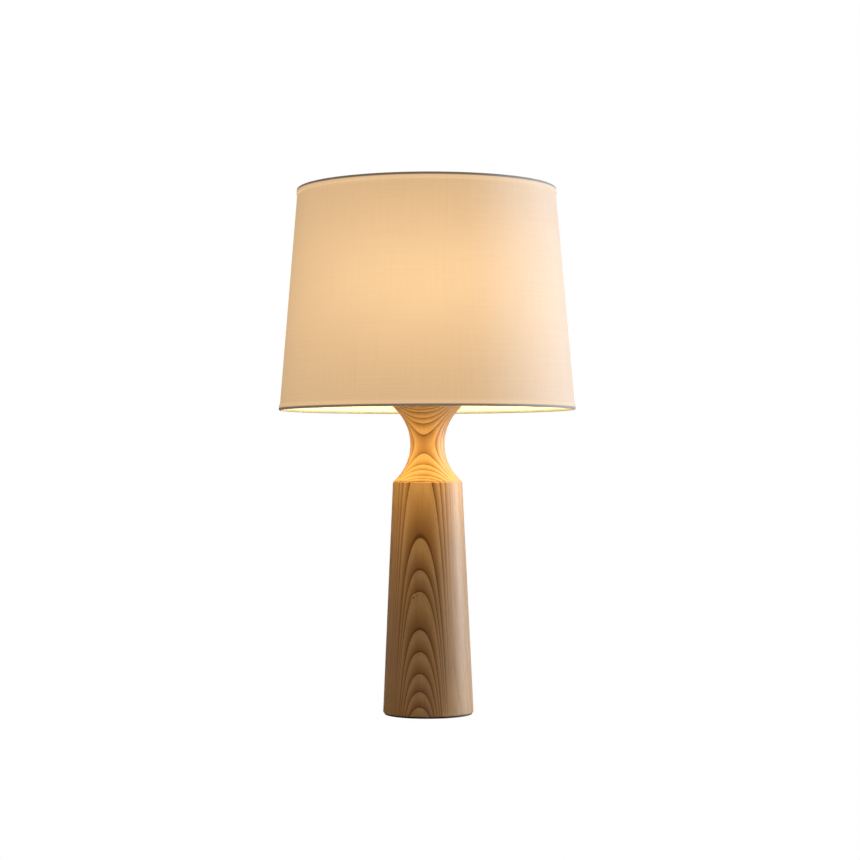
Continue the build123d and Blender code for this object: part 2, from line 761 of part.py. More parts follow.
def bulb_form(inset):
    """The solid pear form of the bulb, drawn in by an inset: throat, cone and ball."""
    throat = throat_radius - inset
    neck_radius = bulb_neck_radius - inset
    ball = bulb_ball_radius - inset
    # Angles, seen from the middle of the ball, where the cone meets it and half way to its top
    to_neck = math.hypot(neck_radius, bulb_cone_height)
    meeting = math.acos(ball / to_neck) - math.atan2(bulb_cone_height, neck_radius)
    halfway = (meeting + math.pi / 2) / 2
    meeting_point = (ball * math.cos(meeting), ball_level + ball * math.sin(meeting))
    halfway_point = (ball * math.cos(halfway), ball_level + ball * math.sin(halfway))
    with BuildPart() as form:
        with BuildSketch(Plane.XZ):
            with BuildLine():
                Polyline(
                    (0, ball_level + ball),
                    (0, bulb_mouth - inset),
                    (throat, bulb_mouth - inset),
                    (throat, bulb_cap_top),
                    (neck_radius, bulb_neck_level),
                    meeting_point,
                )
                ThreePointArc(meeting_point, halfway_point, (0, ball_level + ball))
            make_face()
        revolve(axis=Axis.Z)
    return form


with BuildPart() as bulb_globe:
    add(bulb_form(0).part)
    add(bulb_form(bulb_glass).part, mode=Mode.SUBTRACT)
write_part(bulb_globe, "bulb_globe")

stem_top = bulb_tip + bulb_stem_height
with BuildPart() as bulb_stem:
    with BuildSketch(Plane.XY.offset(bulb_mouth)):
        Circle(throat_radius - bulb_glass - running_gap)
    extrude(amount=bulb_stem_flare)
    with BuildSketch(Plane.XY.offset(bulb_mouth)):
        Circle(bulb_stem_radius)
    extrude(amount=stem_top - bulb_mouth)
write_part(bulb_stem, "bulb_stem")

with BuildPart() as bulb_filament:
    with BuildLine(Plane.XZ) as filament_wire:
        FilletPolyline(
            (-filament_lead_spacing / 2, stem_top),
            (-filament_lead_spacing / 2, stem_top + filament_lead),
            (-filament_width / 2, stem_top + filament_shoulder),
            (-filament_width / 2, stem_top + filament_rise),
            (filament_width / 2, stem_top + filament_rise),
            (filament_width / 2, stem_top + filament_shoulder),
            (filament_lead_spacing / 2, stem_top + filament_lead),
            (filament_lead_spacing / 2, stem_top),
            radius=filament_bend,
        )
    with BuildSketch(Plane(origin=filament_wire.line @ 0, z_dir=filament_wire.line % 0)):
        Circle(filament_radius)
    sweep()
write_part(bulb_filament, "bulb_filament")

# Planes across the shade's wall, with their middle on a ring's wire: x along the wall towards
# the other ring, y outwards
bottom_wall = Plane(
    origin=(bottom_ring_radius, 0, bottom_ring_level),
    x_dir=(-slope_in, 0, slope_up),
    z_dir=(0, 1, 0),
)
top_wall = Plane(
    origin=(top_ring_radius, 0, top_ring_level),
    x_dir=(slope_in, 0, -slope_up),
    z_dir=(0, -1, 0),
)
panel_edge = ring_wire_radius + seat_gap
liner_middle = -(shade_fabric_thickness + running_gap) / 2
fabric_middle = (shade_liner_thickness + running_gap) / 2


def wall_layer(middle, thickness):
    """One layer of the shade's wall, between the two rings."""
    with BuildPart() as layer:
        with BuildSketch(bottom_wall):
            with Locations((wall_length / 2, middle)):
                Rectangle(wall_length - 2 * panel_edge, thickness)
        revolve(axis=Axis.Z)
    return layer


def ring_wire(plane):
    """A ring of round wire."""
    with BuildPart() as ring:
        with BuildSketch(plane):
            Circle(ring_wire_radius)
        revolve(axis=Axis.Z)
    return ring


def rolled_tape(plane, side, reach, turn=360):
    """Half of a tape rolled round a ring, which reaches up one side of the wall.

    The side is 1 for the outside and -1 for the inside; the turn is how far round it goes.
    """
    tape_middle = roll_radius - trim_thickness / 2
    with BuildPart() as tape:
        with BuildSketch(plane):
            with BuildLine():
                FilletPolyline(
                    (reach, side * tape_middle),
                    (-tape_middle, side * tape_middle),
                    (-tape_middle, 0),
                    radius=tape_middle - trim_flat / 2,
                )
            trace(line_width=trim_thickness)
        revolve(axis=Axis.Z, revolution_arc=turn)
    return tape


shade_liner = wall_layer(liner_middle, shade_liner_thickness)
write_part(shade_liner, "shade_liner")

shade_fabric = wall_layer(fabric_middle, shade_fabric_thickness)
write_part(shade_fabric, "shade_fabric")

shade_bottom_ring = ring_wire(bottom_wall)
write_part(shade_bottom_ring, "shade_bottom_ring")

shade_top_ring = ring_wire(top_wall)
write_part(shade_top_ring, "shade_top_ring")

with BuildPart() as shade_bottom_trim:
    add(rolled_tape(bottom_wall, 1, trim_band).part)
    add(rolled_tape(bottom_wall, -1, trim_flap).part)
write_part(shade_bottom_trim, "shade_bottom_trim")

# Spider: a hub washer on the stud's flange and arms that rise to the inside of the top ring
arm_level = shade_seat + spider_hub_thickness / 2
arm_reach = top_ring_radius - ring_wire_radius - seat_gap - spider_arm_radius
arm_top = top_ring_level + ring_wire_radius
with BuildPart() as spider_arm:
    with BuildLine(Plane.XZ) as arm_wire:
        FilletPolyline(
            (spider_arm_root, arm_level),
            (arm_reach, arm_level),
            (arm_reach, arm_top),
            radius=spider_arm_bend,
        )
    with BuildSketch(Plane(origin=arm_wire.line @ 0, z_dir=arm_wire.line % 0)):
        Circle(spider_arm_radius)
    sweep()

with BuildPart() as spider:
    with BuildSketch(Plane.XY.offset(shade_seat)):
        Circle(spider_hub_radius)
    extrude(amount=spider_hub_thickness)
    with PolarLocations(0, spider_arm_count, start_angle=spider_arm_start):
        add(spider_arm.part)
    with BuildSketch(Plane.XY.offset(shade_seat)):
        Circle(stud_radius + loose_gap)
    extrude(amount=spider_hub_thickness, mode=Mode.SUBTRACT)
write_part(spider, "spider")

# The inner half of the top trim is open where an arm of the spider meets the ring
arm_opening = math.degrees(2 * (spider_arm_radius + loose_gap) / arm_reach)
inner_tape = rolled_tape(top_wall, -1, trim_flap, 360 / spider_arm_count - arm_opening)
with BuildPart() as shade_top_trim:
    add(rolled_tape(top_wall, 1, trim_band).part)
    with PolarLocations(0, spider_arm_count, start_angle=spider_arm_start + arm_opening / 2):
        add(inner_tape.part)
write_part(shade_top_trim, "shade_top_trim")

# Finial: a turned wooden ball on a foot, round a threaded brass insert
finial_bottom = shade_seat + spider_hub_thickness
finial_foot_top = finial_bottom + finial_foot_height
finial_neck_top = finial_foot_top + finial_neck_height
ball_rise = math.sqrt(finial_ball_radius**2 - finial_neck_radius**2)
finial_ball_level = finial_neck_top + ball_rise
finial_top = finial_ball_level + finial_ball_radius
with BuildPart() as finial:
    with BuildSketch(Plane.XZ):
        with BuildLine():
            Polyline(
                (0, finial_top),
                (0, finial_bottom),
                (finial_foot_radius, finial_bottom),
                (finial_foot_radius, finial_foot_top),
                (finial_neck_radius, finial_foot_top),
                (finial_neck_radius, finial_neck_top),
            )
            ThreePointArc(
                (finial_neck_radius, finial_neck_top),
                (finial_ball_radius, finial_ball_level),
                (0, finial_top),
            )
        make_face()
    revolve(axis=Axis.Z)
    with BuildSketch(Plane.XY.offset(finial_bottom)):
        Circle(insert_radius + running_gap)
    extrude(amount=max(insert_length, stud_length) + running_gap, mode=Mode.SUBTRACT)
write_part(finial, "finial")

finial_insert = tube(finial_bottom, finial_bottom + insert_length, insert_radius, stud_radius + thread_gap)
write_part(finial_insert, "finial_insert")
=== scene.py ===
"""Dresses the column table lamp: turned ash, a lit fabric drum shade and brass parts under it."""

import json
import logging
import math
from collections.abc import Callable, Sequence
from dataclasses import dataclass
from enum import Enum

import bpy
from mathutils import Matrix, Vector

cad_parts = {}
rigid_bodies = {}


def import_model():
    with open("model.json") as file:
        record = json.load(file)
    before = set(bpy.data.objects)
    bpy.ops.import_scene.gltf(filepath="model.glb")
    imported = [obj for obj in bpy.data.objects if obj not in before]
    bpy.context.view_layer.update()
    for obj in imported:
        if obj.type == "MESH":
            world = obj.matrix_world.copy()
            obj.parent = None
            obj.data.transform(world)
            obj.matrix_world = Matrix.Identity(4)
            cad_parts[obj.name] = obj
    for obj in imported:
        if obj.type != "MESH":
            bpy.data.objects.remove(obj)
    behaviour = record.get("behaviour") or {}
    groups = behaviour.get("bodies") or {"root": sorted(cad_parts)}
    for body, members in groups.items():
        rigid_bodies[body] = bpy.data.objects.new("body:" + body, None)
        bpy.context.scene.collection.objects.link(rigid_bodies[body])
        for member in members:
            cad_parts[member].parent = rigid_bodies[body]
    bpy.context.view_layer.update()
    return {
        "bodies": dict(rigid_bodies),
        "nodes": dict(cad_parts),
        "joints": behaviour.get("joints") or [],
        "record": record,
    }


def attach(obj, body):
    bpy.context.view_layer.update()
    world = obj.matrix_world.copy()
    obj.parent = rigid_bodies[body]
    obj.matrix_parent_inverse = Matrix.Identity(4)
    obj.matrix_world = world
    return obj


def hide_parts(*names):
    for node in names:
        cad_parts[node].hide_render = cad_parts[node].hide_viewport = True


LOG = logging.getLogger("lamp")

Colour = tuple[float, float, float]
Socket = bpy.types.NodeSocket
# What a node's input takes: another node's output, a number, a vector or a colour
Value = "bpy.types.NodeSocket | float | Sequence[float]"

# Where the bulb's light stands, and its warm colour
BULB_MIDDLE = Vector((0.0, 0.0, 0.488))
WARM_LIGHT: Colour = (1.0, 0.60, 0.06)
# The middle of the painted glow on the shade, in front of the bulb so that the front glows brighter than
# the back, and the scale of its falling off
GLOW_MIDDLE = Vector((0.0, -0.052, 0.494))
GLOW_REACH = 0.163

# Levels between which the shade's lit wall gives way to the cloth rolled round its rings
LOWER_ROLL = (0.3602, 0.3618)
UPPER_ROLL = (0.6150, 0.6166)
# The wall's middle radius over its level: slope and start
WALL_LINE = (-0.08554, 0.20408)
# The column's radius over its level: slope and start
COLUMN_LINE = (-0.0125 / 0.272, 0.0534 + 0.0125 / 0.272 * 0.002)


# ---------------------------------------------------------------- material nodes


class Nodes:
    """The node tree of one material, with short calls for what the finishes share."""

    def __init__(self, name: str) -> None:
        """Start an empty material.

        Args:
            name: The material's name.
        """
        self.material = bpy.data.materials.new(name)
        self.material.use_nodes = True
        self.tree = self.material.node_tree
        self.tree.nodes.clear()
        self.output = self.tree.nodes.new("ShaderNodeOutputMaterial")
        self.place = self.add("ShaderNodeTexCoord").outputs["Object"]

    def add(self, kind: str, *values: Value, **settings: object) -> bpy.types.Node:
        """Add a node, set its own properties and feed its inputs in order.

        Args:
            kind: The node's type name.
            values: What its first inputs get.
            settings: Properties of the node.

        Returns:
            The new node.
        """
        node = self.tree.nodes.new(kind)
        for key, value in settings.items():
            setattr(node, key, value)
        for target, value in zip(node.inputs, values):
            self.feed(target, value)
        return node

    def feed(self, target: Socket, value: Value) -> None:
        """Give an input a value, or link it to another node's output.

        Args:
            target: The input socket.
            value: What it gets.
        """
        if isinstance(value, bpy.types.NodeSocket):
            self.tree.links.new(value, target)
        elif target.type == "RGBA" and len(value) == 3:
            target.default_value = (*value, 1.0)
        else:
            target.default_value = value

    def fill(self, node: bpy.types.Node, **inputs: Value) -> bpy.types.Node:
        """Feed a node's inputs by name.

        Args:
            node: The node.
            inputs: The inputs, with spaces in their names written as underscores.

        Returns:
            The node.
        """
        for key, value in inputs.items():
            self.feed(node.inputs[key.replace("_", " ")], value)
        return node

    def maths(self, operation: str, *values: Value) -> Socket:
        """The result of a Math node's operation on numbers."""
        return self.add("ShaderNodeMath", *values, operation=operation).outputs[0]

    def vector(self, operation: str, *values: Value) -> bpy.types.Node:
        """A Vector Math node, whose output depends on the operation."""
        return self.add("ShaderNodeVectorMath", *values, operation=operation)

    def stretch(self, vector: Socket, scale: Sequence[float]) -> Socket:
        """A place multiplied by a factor along each axis."""
        return self.vector("MULTIPLY", vector, scale).outputs[0]

    def planar_length(self, vector: Socket) -> Socket:
        """A vector's length across the lamp's axis."""
        return self.vector("LENGTH", self.stretch(vector, (1.0, 1.0, 0.0))).outputs["Value"]

    def level(self) -> Socket:
        """The height of the place."""
        return self.add("ShaderNodeSeparateXYZ", self.place).outputs["Z"]

    def scaled(self, colour: Value, factor: Socket) -> Socket:
        """A colour made brighter or darker by a factor."""
        node = self.vector("SCALE", colour)
        return self.fill(node, Scale=factor).outputs[0]

    def vary(self, noise: Socket, amount: float, middle: Value) -> Socket:
        """A value that noise around 0.5 moves by up to half the amount."""
        return self.maths("MULTIPLY_ADD", self.maths("SUBTRACT", noise, 0.5), amount, middle)

    def noise(
        self,
        scale: Sequence[float],
        detail: float = 2.0,
        roughness: float = 0.5,
        place: Socket | None = None,
    ) -> Socket:
        """Smooth noise around 0.5.

        Args:
            scale: Repeats in a metre along each axis.
            detail: Octaves.
            roughness: The share of the finer octaves.
            place: Where it lies; the material's own place if none is given.

        Returns:
            The noise's value.
        """
        vector = self.stretch(self.place if place is None else place, scale)
        node = self.add("ShaderNodeTexNoise")
        self.fill(node, Vector=vector, Scale=1.0, Detail=detail, Roughness=roughness)
        return node.outputs["Fac"]

    def cells(self, scale: Sequence[float]) -> Socket:
        """The distance to the nearest of scattered points, so many in a metre along each axis."""
        node = self.add("ShaderNodeTexVoronoi")
        return self.fill(node, Vector=self.stretch(self.place, scale), Scale=1.0).outputs["Distance"]

    def ramp(self, factor: Socket, stops: Sequence[tuple[float, Colour]]) -> Socket:
        """Colours along a value.

        Args:
            factor: The value.
            stops: Places from 0 to 1 and their colours.

        Returns:
            The colour.
        """
        node = self.add("ShaderNodeValToRGB", factor)
        elements = node.color_ramp.elements
        while len(elements) < len(stops):
            elements.new(0.5)
        for element, (position, colour) in zip(elements, stops):
            element.position = position
            element.color = (*colour, 1.0)
        return node.outputs["Color"]

    def span(
        self, value: Socket, low: float, high: float, to_low: float = 0.0, to_high: float = 1.0
    ) -> Socket:
        """A range of a value mapped smoothly to another range and held at its ends."""
        limits = (value, low, high, to_low, to_high)
        return self.add("ShaderNodeMapRange", *limits, interpolation_type="SMOOTHSTEP").outputs["Result"]

    def mix(self, factor: Value, first: Value, second: Value, blend: str = "MIX") -> Socket:
        """Blend two colours.

        Args:
            factor: The second colour's share.
            first: The first colour.
            second: The second colour.
            blend: The kind of blend.

        Returns:
            The blended colour.
        """
        node = self.add("ShaderNodeMix", factor, data_type="RGBA", blend_type=blend)
        # The inputs between are those of the node's number and vector forms
        self.feed(node.inputs[6], first)
        self.feed(node.inputs[7], second)
        return node.outputs[2]

    def bump(self, height: Socket, depth: float, strength: float) -> Socket:
        """A normal bent by a height, where 1 stands for the depth in metres."""
        node = self.fill(self.add("ShaderNodeBump"), Height=height, Distance=depth, Strength=strength)
        return node.outputs["Normal"]

    def surface(self, **inputs: Value) -> bpy.types.Material:
        """End the material in one Principled shader.

        Args:
            inputs: Its inputs, with spaces in their names written as underscores.

        Returns:
            The finished material.
        """
        shader = self.fill(self.add("ShaderNodeBsdfPrincipled"), **inputs)
        self.tree.links.new(shader.outputs[0], self.output.inputs["Surface"])
        return self.material


def bulb_glow(nodes: Nodes, even: float, direct: float) -> Socket:
    """How brightly the bulb's light is painted on the shade's wall: a falling-off direct part and an
    even rest.

    Args:
        nodes: The material's tree.
        even: The even part.
        direct: The part that is full beside the bulb.

    Returns:
        The brightness.
    """
    offset = nodes.vector("SUBTRACT", nodes.place, tuple(GLOW_MIDDLE)).outputs[0]
    away = nodes.vector("LENGTH", offset).outputs["Value"]
    aside = nodes.planar_length(offset)
    # Light from a point falls off with the square of the distance and with the slant
    lit = nodes.maths("DIVIDE", aside, nodes.maths("POWER", away, 3.0))
    return nodes.maths("MULTIPLY_ADD", lit, direct * GLOW_REACH**2, even)


# ---------------------------------------------------------------- finishes


@dataclass(frozen=True)
class Knot:
    """A small knot in the wood: its place, its size, how far it bends the rings and by how much."""

    place: Vector
    radius: float
    reach: float
    push: float


@dataclass(frozen=True)
class TurnedAsh:
    """Turned, oiled ash with growth rings that stand upright and face the front."""

    name: str = "turned ash"
    pale: Colour = (0.56, 0.385, 0.25)
    middle: Colour = (0.43, 0.27, 0.155)
    late: Colour = (0.29, 0.155, 0.075)
    line: Colour = (0.14, 0.065, 0.028)
    side: Colour = (0.50, 0.335, 0.21)
    cathedral: tuple[float, float] = (0.025, 0.035)
    pith_behind: float = 0.026
    bend: float = 0.036
    bend_depth: float = 0.0115
    taper: tuple[float, float] | None = None
    facet_depth: float = 0.0004
    turn: float = math.radians(11.5)
    inner_step: float = 0.0038
    # Rings added before the first, so that the count stays above zero at the pith
    rings_before: float = 64.0
    quiet: float = 0.76
    waves: tuple[tuple[Sequence[float], float], ...] = (
        ((9, 9, 7), 0.0005), ((45, 45, 16), 0.00008), ((160, 160, 30), 0.000012),
    )
    rings: tuple[float, ...] = (
        0.0213, 0.0255, 0.0289, 0.0337, 0.0372, 0.0400, 0.0438, 0.04548,
        0.04664, 0.04872, 0.04991, 0.05112, 0.0521, 0.05292, 0.0541,
    )
    knots: tuple[Knot, ...] = (
        Knot(Vector((-0.0168, -0.0439, 0.1395)), 0.0010, 0.0070, -0.00032),
        Knot(Vector((-0.0128, -0.0452, 0.1420)), 0.0006, 0.0030, -0.00005),
    )

    def round_place(self, nodes: Nodes) -> Socket:
        """Put the surface's flat facets back on the turned cone.

        Args:
            nodes: The material's tree.

        Returns:
            The place, moved out to the cone's radius where it is close to it.
        """
        slope, start = self.taper
        radius = nodes.planar_length(nodes.place)
        cone = nodes.maths("MULTIPLY_ADD", nodes.level(), slope, start)
        near = nodes.maths("COMPARE", radius, cone, self.facet_depth)
        excess = nodes.maths("SUBTRACT", nodes.maths("DIVIDE", cone, radius), 1.0)
        grow = nodes.maths("MULTIPLY_ADD", near, excess, 1.0)
        outwards = nodes.add("ShaderNodeCombineXYZ", grow, grow, 1.0).outputs[0]
        return nodes.vector("MULTIPLY", nodes.place, outwards).outputs[0]

    @property
    def facing(self) -> Vector:
        """The level direction that the rings face."""
        return Vector((-math.sin(self.turn), -math.cos(self.turn), 0.0))

    def depth(self, nodes: Nodes) -> Socket:
        """How far a point is in front of the axis, counted along the rings' curve.

        Args:
            nodes: The material's tree.

        Returns:
            The depth in metres, with the wood's waviness and its knots.
        """
        pith = self.facing * -self.pith_behind
        flat = nodes.stretch(nodes.place, (1.0, 1.0, 0.0))
        across = nodes.vector("SUBTRACT", flat, tuple(pith)).outputs[0]
        out = nodes.vector("LENGTH", across).outputs["Value"]
        depth = nodes.maths("SUBTRACT", out, self.pith_behind)
        # The rings are flatter than circles in front, so the depth falls away steeply beside it
        aside = nodes.maths("DIVIDE", nodes.maths("ABSOLUTE", self.beside(nodes)), self.bend)
        fall = nodes.maths("POWER", nodes.maths("MINIMUM", aside, 1.0), 4.0)
        depth = nodes.maths("SUBTRACT", depth, nodes.maths("MULTIPLY", fall, self.bend_depth))
        for scale, size in self.waves:
            wave = nodes.noise(scale, detail=1.0)
            depth = nodes.vary(wave, size, depth)
        for knot in self.knots:
            near = self.knot_distance(nodes, knot)
            swell = nodes.span(near, 0.0, knot.reach, knot.push, 0.0)
            depth = nodes.maths("SUBTRACT", depth, swell)
        return depth

    def beside(self, nodes: Nodes) -> Socket:
        """How far a point is to the side of the plane that the rings face."""
        sideways = (math.cos(self.turn), -math.sin(self.turn), 0.0)
        return nodes.vector("DOT_PRODUCT", nodes.place, sideways).outputs["Value"]

    def knot_distance(self, nodes: Nodes, knot: Knot) -> Socket:
        """The distance to the line that a knot follows outwards through the wood.

        Args:
            nodes: The material's tree.
            knot: The knot.

        Returns:
            The distance in metres.
        """
        line = knot.place + self.facing * self.pith_behind
        line.z = 0.0
        offset = nodes.vector("SUBTRACT", nodes.place, tuple(knot.place)).outputs[0]
        along = nodes.vector("PROJECT", offset, tuple(line.normalized())).outputs[0]
        beside = nodes.vector("SUBTRACT", offset, along).outputs[0]
        length = nodes.vector("LENGTH", beside).outputs["Value"]
        # Behind the axis the line has ended
        ahead = nodes.vector("DOT_PRODUCT", nodes.place, tuple(self.facing)).outputs["Value"]
        front = nodes.maths("GREATER_THAN", ahead, 0.0)
        return nodes.maths("ADD", length, nodes.maths("SUBTRACT", 1.0, front))

    def ring_phase(self, nodes: Nodes, depth: Socket) -> Socket:
        """Where a point lies in its growth ring.

        Args:
            nodes: The material's tree.
            depth: The depth in metres.

        Returns:
            0 where a ring starts, rising to 1 at its dark outer line.
        """
        first, last = self.rings[0], self.rings[-1]
        inner = nodes.maths("MINIMUM", nodes.maths("SUBTRACT", depth, first), 0.0)
        inner = nodes.maths("DIVIDE", inner, self.inner_step)
        share = nodes.maths("DIVIDE", nodes.maths("SUBTRACT", depth, first), last - first)
        curve = nodes.add("ShaderNodeFloatCurve")
        points = curve.mapping.curves[0].points
        count = len(self.rings) - 1
        while len(points) < len(self.rings):
            points.new(0.5, 0.5)
        for index, (point, ring) in enumerate(zip(points, self.rings)):
            point.location = ((ring - first) / (last - first), index / count)
            point.handle_type = "VECTOR"
        curve.mapping.update()
        held = nodes.maths("MAXIMUM", nodes.maths("MINIMUM", share, 1.0), 0.0)
        nodes.feed(curve.inputs["Value"], held)
        outer = nodes.maths("MULTIPLY", curve.outputs[0], float(count))
        inner = nodes.maths("ADD", inner, self.rings_before)
        return nodes.maths("FRACT", nodes.maths("ADD", inner, outer))

    def material(self) -> bpy.types.Material:
        """The wood's rings, fibres, pores, knots and oiled surface.

        Returns:
            The material.
        """
        nodes = Nodes(self.name)
        if self.taper:
            nodes.place = self.round_place(nodes)
        phase = self.ring_phase(nodes, self.depth(nodes))
        rings = nodes.ramp(
            phase,
            (
                (0.0, self.line),
                (0.012, self.pale),
                (0.28, self.pale),
                (0.62, self.middle),
                (0.91, self.late),
                (0.960, self.line),
            ),
        )
        # Where the surface cuts across the rings they are close and faint
        quiet = nodes.maths("ABSOLUTE", self.beside(nodes))
        quiet = nodes.span(quiet, *self.cathedral, 0.0, self.quiet)
        rings = nodes.mix(quiet, rings, self.side)
        fibres = nodes.noise((1500, 1500, 34), detail=3.0, roughness=0.6)
        streaks = nodes.noise((170, 170, 5), detail=2.0)
        clouds = nodes.noise((22, 22, 9), detail=2.0)
        shade = 1.0
        for noise, amount in ((fibres, 0.34), (streaks, 0.30), (clouds, 0.22)):
            shade = nodes.vary(noise, amount, shade)
        grey = nodes.add("ShaderNodeCombineColor", shade, shade, shade).outputs[0]
        wood = nodes.mix(1.0, rings, grey, "MULTIPLY")
        # Pores: short dark dashes, most of them where a ring starts
        pores = nodes.cells((1300, 1300, 190))
        dash = nodes.span(pores, 0.10, 0.24, 1.0, 0.0)
        early = nodes.span(phase, 0.25, 0.60, 0.75, 0.22)
        dash = nodes.maths("MULTIPLY", dash, early)
        wood = nodes.mix(dash, wood, self.line)
        for knot in self.knots:
            near = self.knot_distance(nodes, knot)
            ring = nodes.span(near, knot.radius * 0.8, knot.radius * 1.5, 0.85, 0.0)
            wood = nodes.mix(ring, wood, self.line)
        height = nodes.maths("SUBTRACT", nodes.maths("MULTIPLY", fibres, 0.35), dash)
        rough = nodes.span(phase, 0.3, 0.95, 0.50, 0.40)
        return nodes.surface(
            Base_Color=wood,
            Roughness=nodes.maths("MULTIPLY_ADD", fibres, 0.10, rough),
            Specular_IOR_Level=0.42,
            Coat_Weight=0.06,
            Coat_Roughness=0.35,
            Normal=nodes.bump(height, 0.00006, 0.7),
        )


class Metal(Enum):
    """The lamp's metals: base colour, roughness, spread of the colour and grain across."""

    BRASS = ("satin brass", (0.74, 0.52, 0.22), 0.27, 0.16, 900.0)
    ZINC = ("zinc-plated steel", (0.60, 0.61, 0.62), 0.36, 0.14, 350.0)
    IRON = ("rough cast iron", (0.085, 0.085, 0.09), 0.72, 0.30, 600.0)
    ALUMINIUM = ("bulb aluminium", (0.78, 0.78, 0.79), 0.32, 0.08, 800.0)
    SOLDER = ("dull solder", (0.62, 0.62, 0.63), 0.48, 0.16, 700.0)
    WIRE = ("galvanised wire", (0.52, 0.52, 0.53), 0.42, 0.12, 500.0)


@dataclass(frozen=True)
class MetalFinish:
    """One of the metals, with fine brushing, faint tarnish and a soft relief."""

    metal: Metal

    def material(self) -> bpy.types.Material:
        """The metal's colour, brushing and tarnish.

        Returns:
            The material.
        """
        name, colour, rough, spread, grain = self.metal.value
        nodes = Nodes(name)
        brushed = nodes.noise((grain, grain, grain * 6), detail=2.0)
        tarnish = nodes.noise((60, 60, 60), detail=3.0, roughness=0.6)
        dark = tuple(part * (1.0 - 1.6 * spread) for part in colour)
        base = nodes.mix(nodes.span(tarnish, 0.35, 0.75), colour, dark)
        base = nodes.mix(nodes.span(brushed, 0.3, 0.9, 0.0, spread), base, dark)
        wear = nodes.maths("MULTIPLY_ADD", tarnish, 0.16, rough - 0.08)
        # Dull solder is only half metallic, so that its drops aren't black
        return nodes.surface(
            Base_Color=base,
            Metallic=0.5 if self.metal is Metal.SOLDER else 1.0,
            Roughness=nodes.maths("MULTIPLY_ADD", brushed, 0.10, wear),
            Normal=nodes.bump(brushed, 0.00002, 0.5),
        )


class Mould(Enum):
    """Moulded and pressed finishes: colour, specks' colour, roughness, specks in a metre, share."""

    PHENOLIC = ("black phenolic", (0.020, 0.017, 0.015), (0.060, 0.050, 0.045), 0.28, 900.0, 0.30)
    NYLON = ("black nylon", (0.022, 0.022, 0.023), (0.045, 0.045, 0.048), 0.46, 1200.0, 0.25)
    VITRITE = ("black glass insulator", (0.012, 0.012, 0.016), (0.05, 0.05, 0.06), 0.12, 500.0, 0.20)
    CARD = ("insulating card", (0.56, 0.47, 0.33), (0.34, 0.26, 0.17), 0.80, 1500.0, 0.45)
    FIBRE = ("fibre board", (0.115, 0.075, 0.045), (0.25, 0.18, 0.11), 0.84, 700.0, 0.55)


@dataclass(frozen=True)
class MouldFinish:
    """A moulded or pressed finish with specks, faint clouding and a fine relief."""

    mould: Mould

    def material(self) -> bpy.types.Material:
        """The finish's colour, specks and relief.

        Returns:
            The material.
        """
        name, colour, speck, rough, scale, share = self.mould.value
        nodes = Nodes(name)
        fine = nodes.noise((scale,) * 3, detail=3.0, roughness=0.65)
        clouds = nodes.noise((45, 45, 45), detail=2.0)
        base = nodes.mix(nodes.span(fine, 0.45, 0.75, 0.0, share), colour, speck)
        base = nodes.mix(nodes.span(clouds, 0.35, 0.75, 0.0, 0.3), base, speck)
        return nodes.surface(
            Base_Color=base,
            Roughness=nodes.maths("MULTIPLY_ADD", fine, 0.16, rough - 0.08),
            Normal=nodes.bump(fine, 0.00004, 0.5),
        )


@dataclass(frozen=True)
class Felt:
    """Dark wool felt with matted fibres."""

    colour: Colour = (0.016, 0.013, 0.011)
    fibre: Colour = (0.050, 0.043, 0.037)

    def material(self) -> bpy.types.Material:
        """The felt's fibres and soft sheen.

        Returns:
            The material.
        """
        nodes = Nodes("dark felt")
        first = nodes.noise((2600, 500, 900), detail=3.0, roughness=0.7)
        second = nodes.noise((500, 2600, 900), detail=3.0, roughness=0.7)
        fibres = nodes.maths("MULTIPLY", nodes.maths("ADD", first, second), 0.5)
        base = nodes.mix(nodes.span(fibres, 0.38, 0.66), self.colour, self.fibre)
        return nodes.surface(
            Base_Color=base,
            Roughness=0.95,
            Specular_IOR_Level=0.15,
            Sheen_Weight=0.35,
            Sheen_Roughness=0.6,
            Normal=nodes.bump(fibres, 0.0003, 0.8),
        )


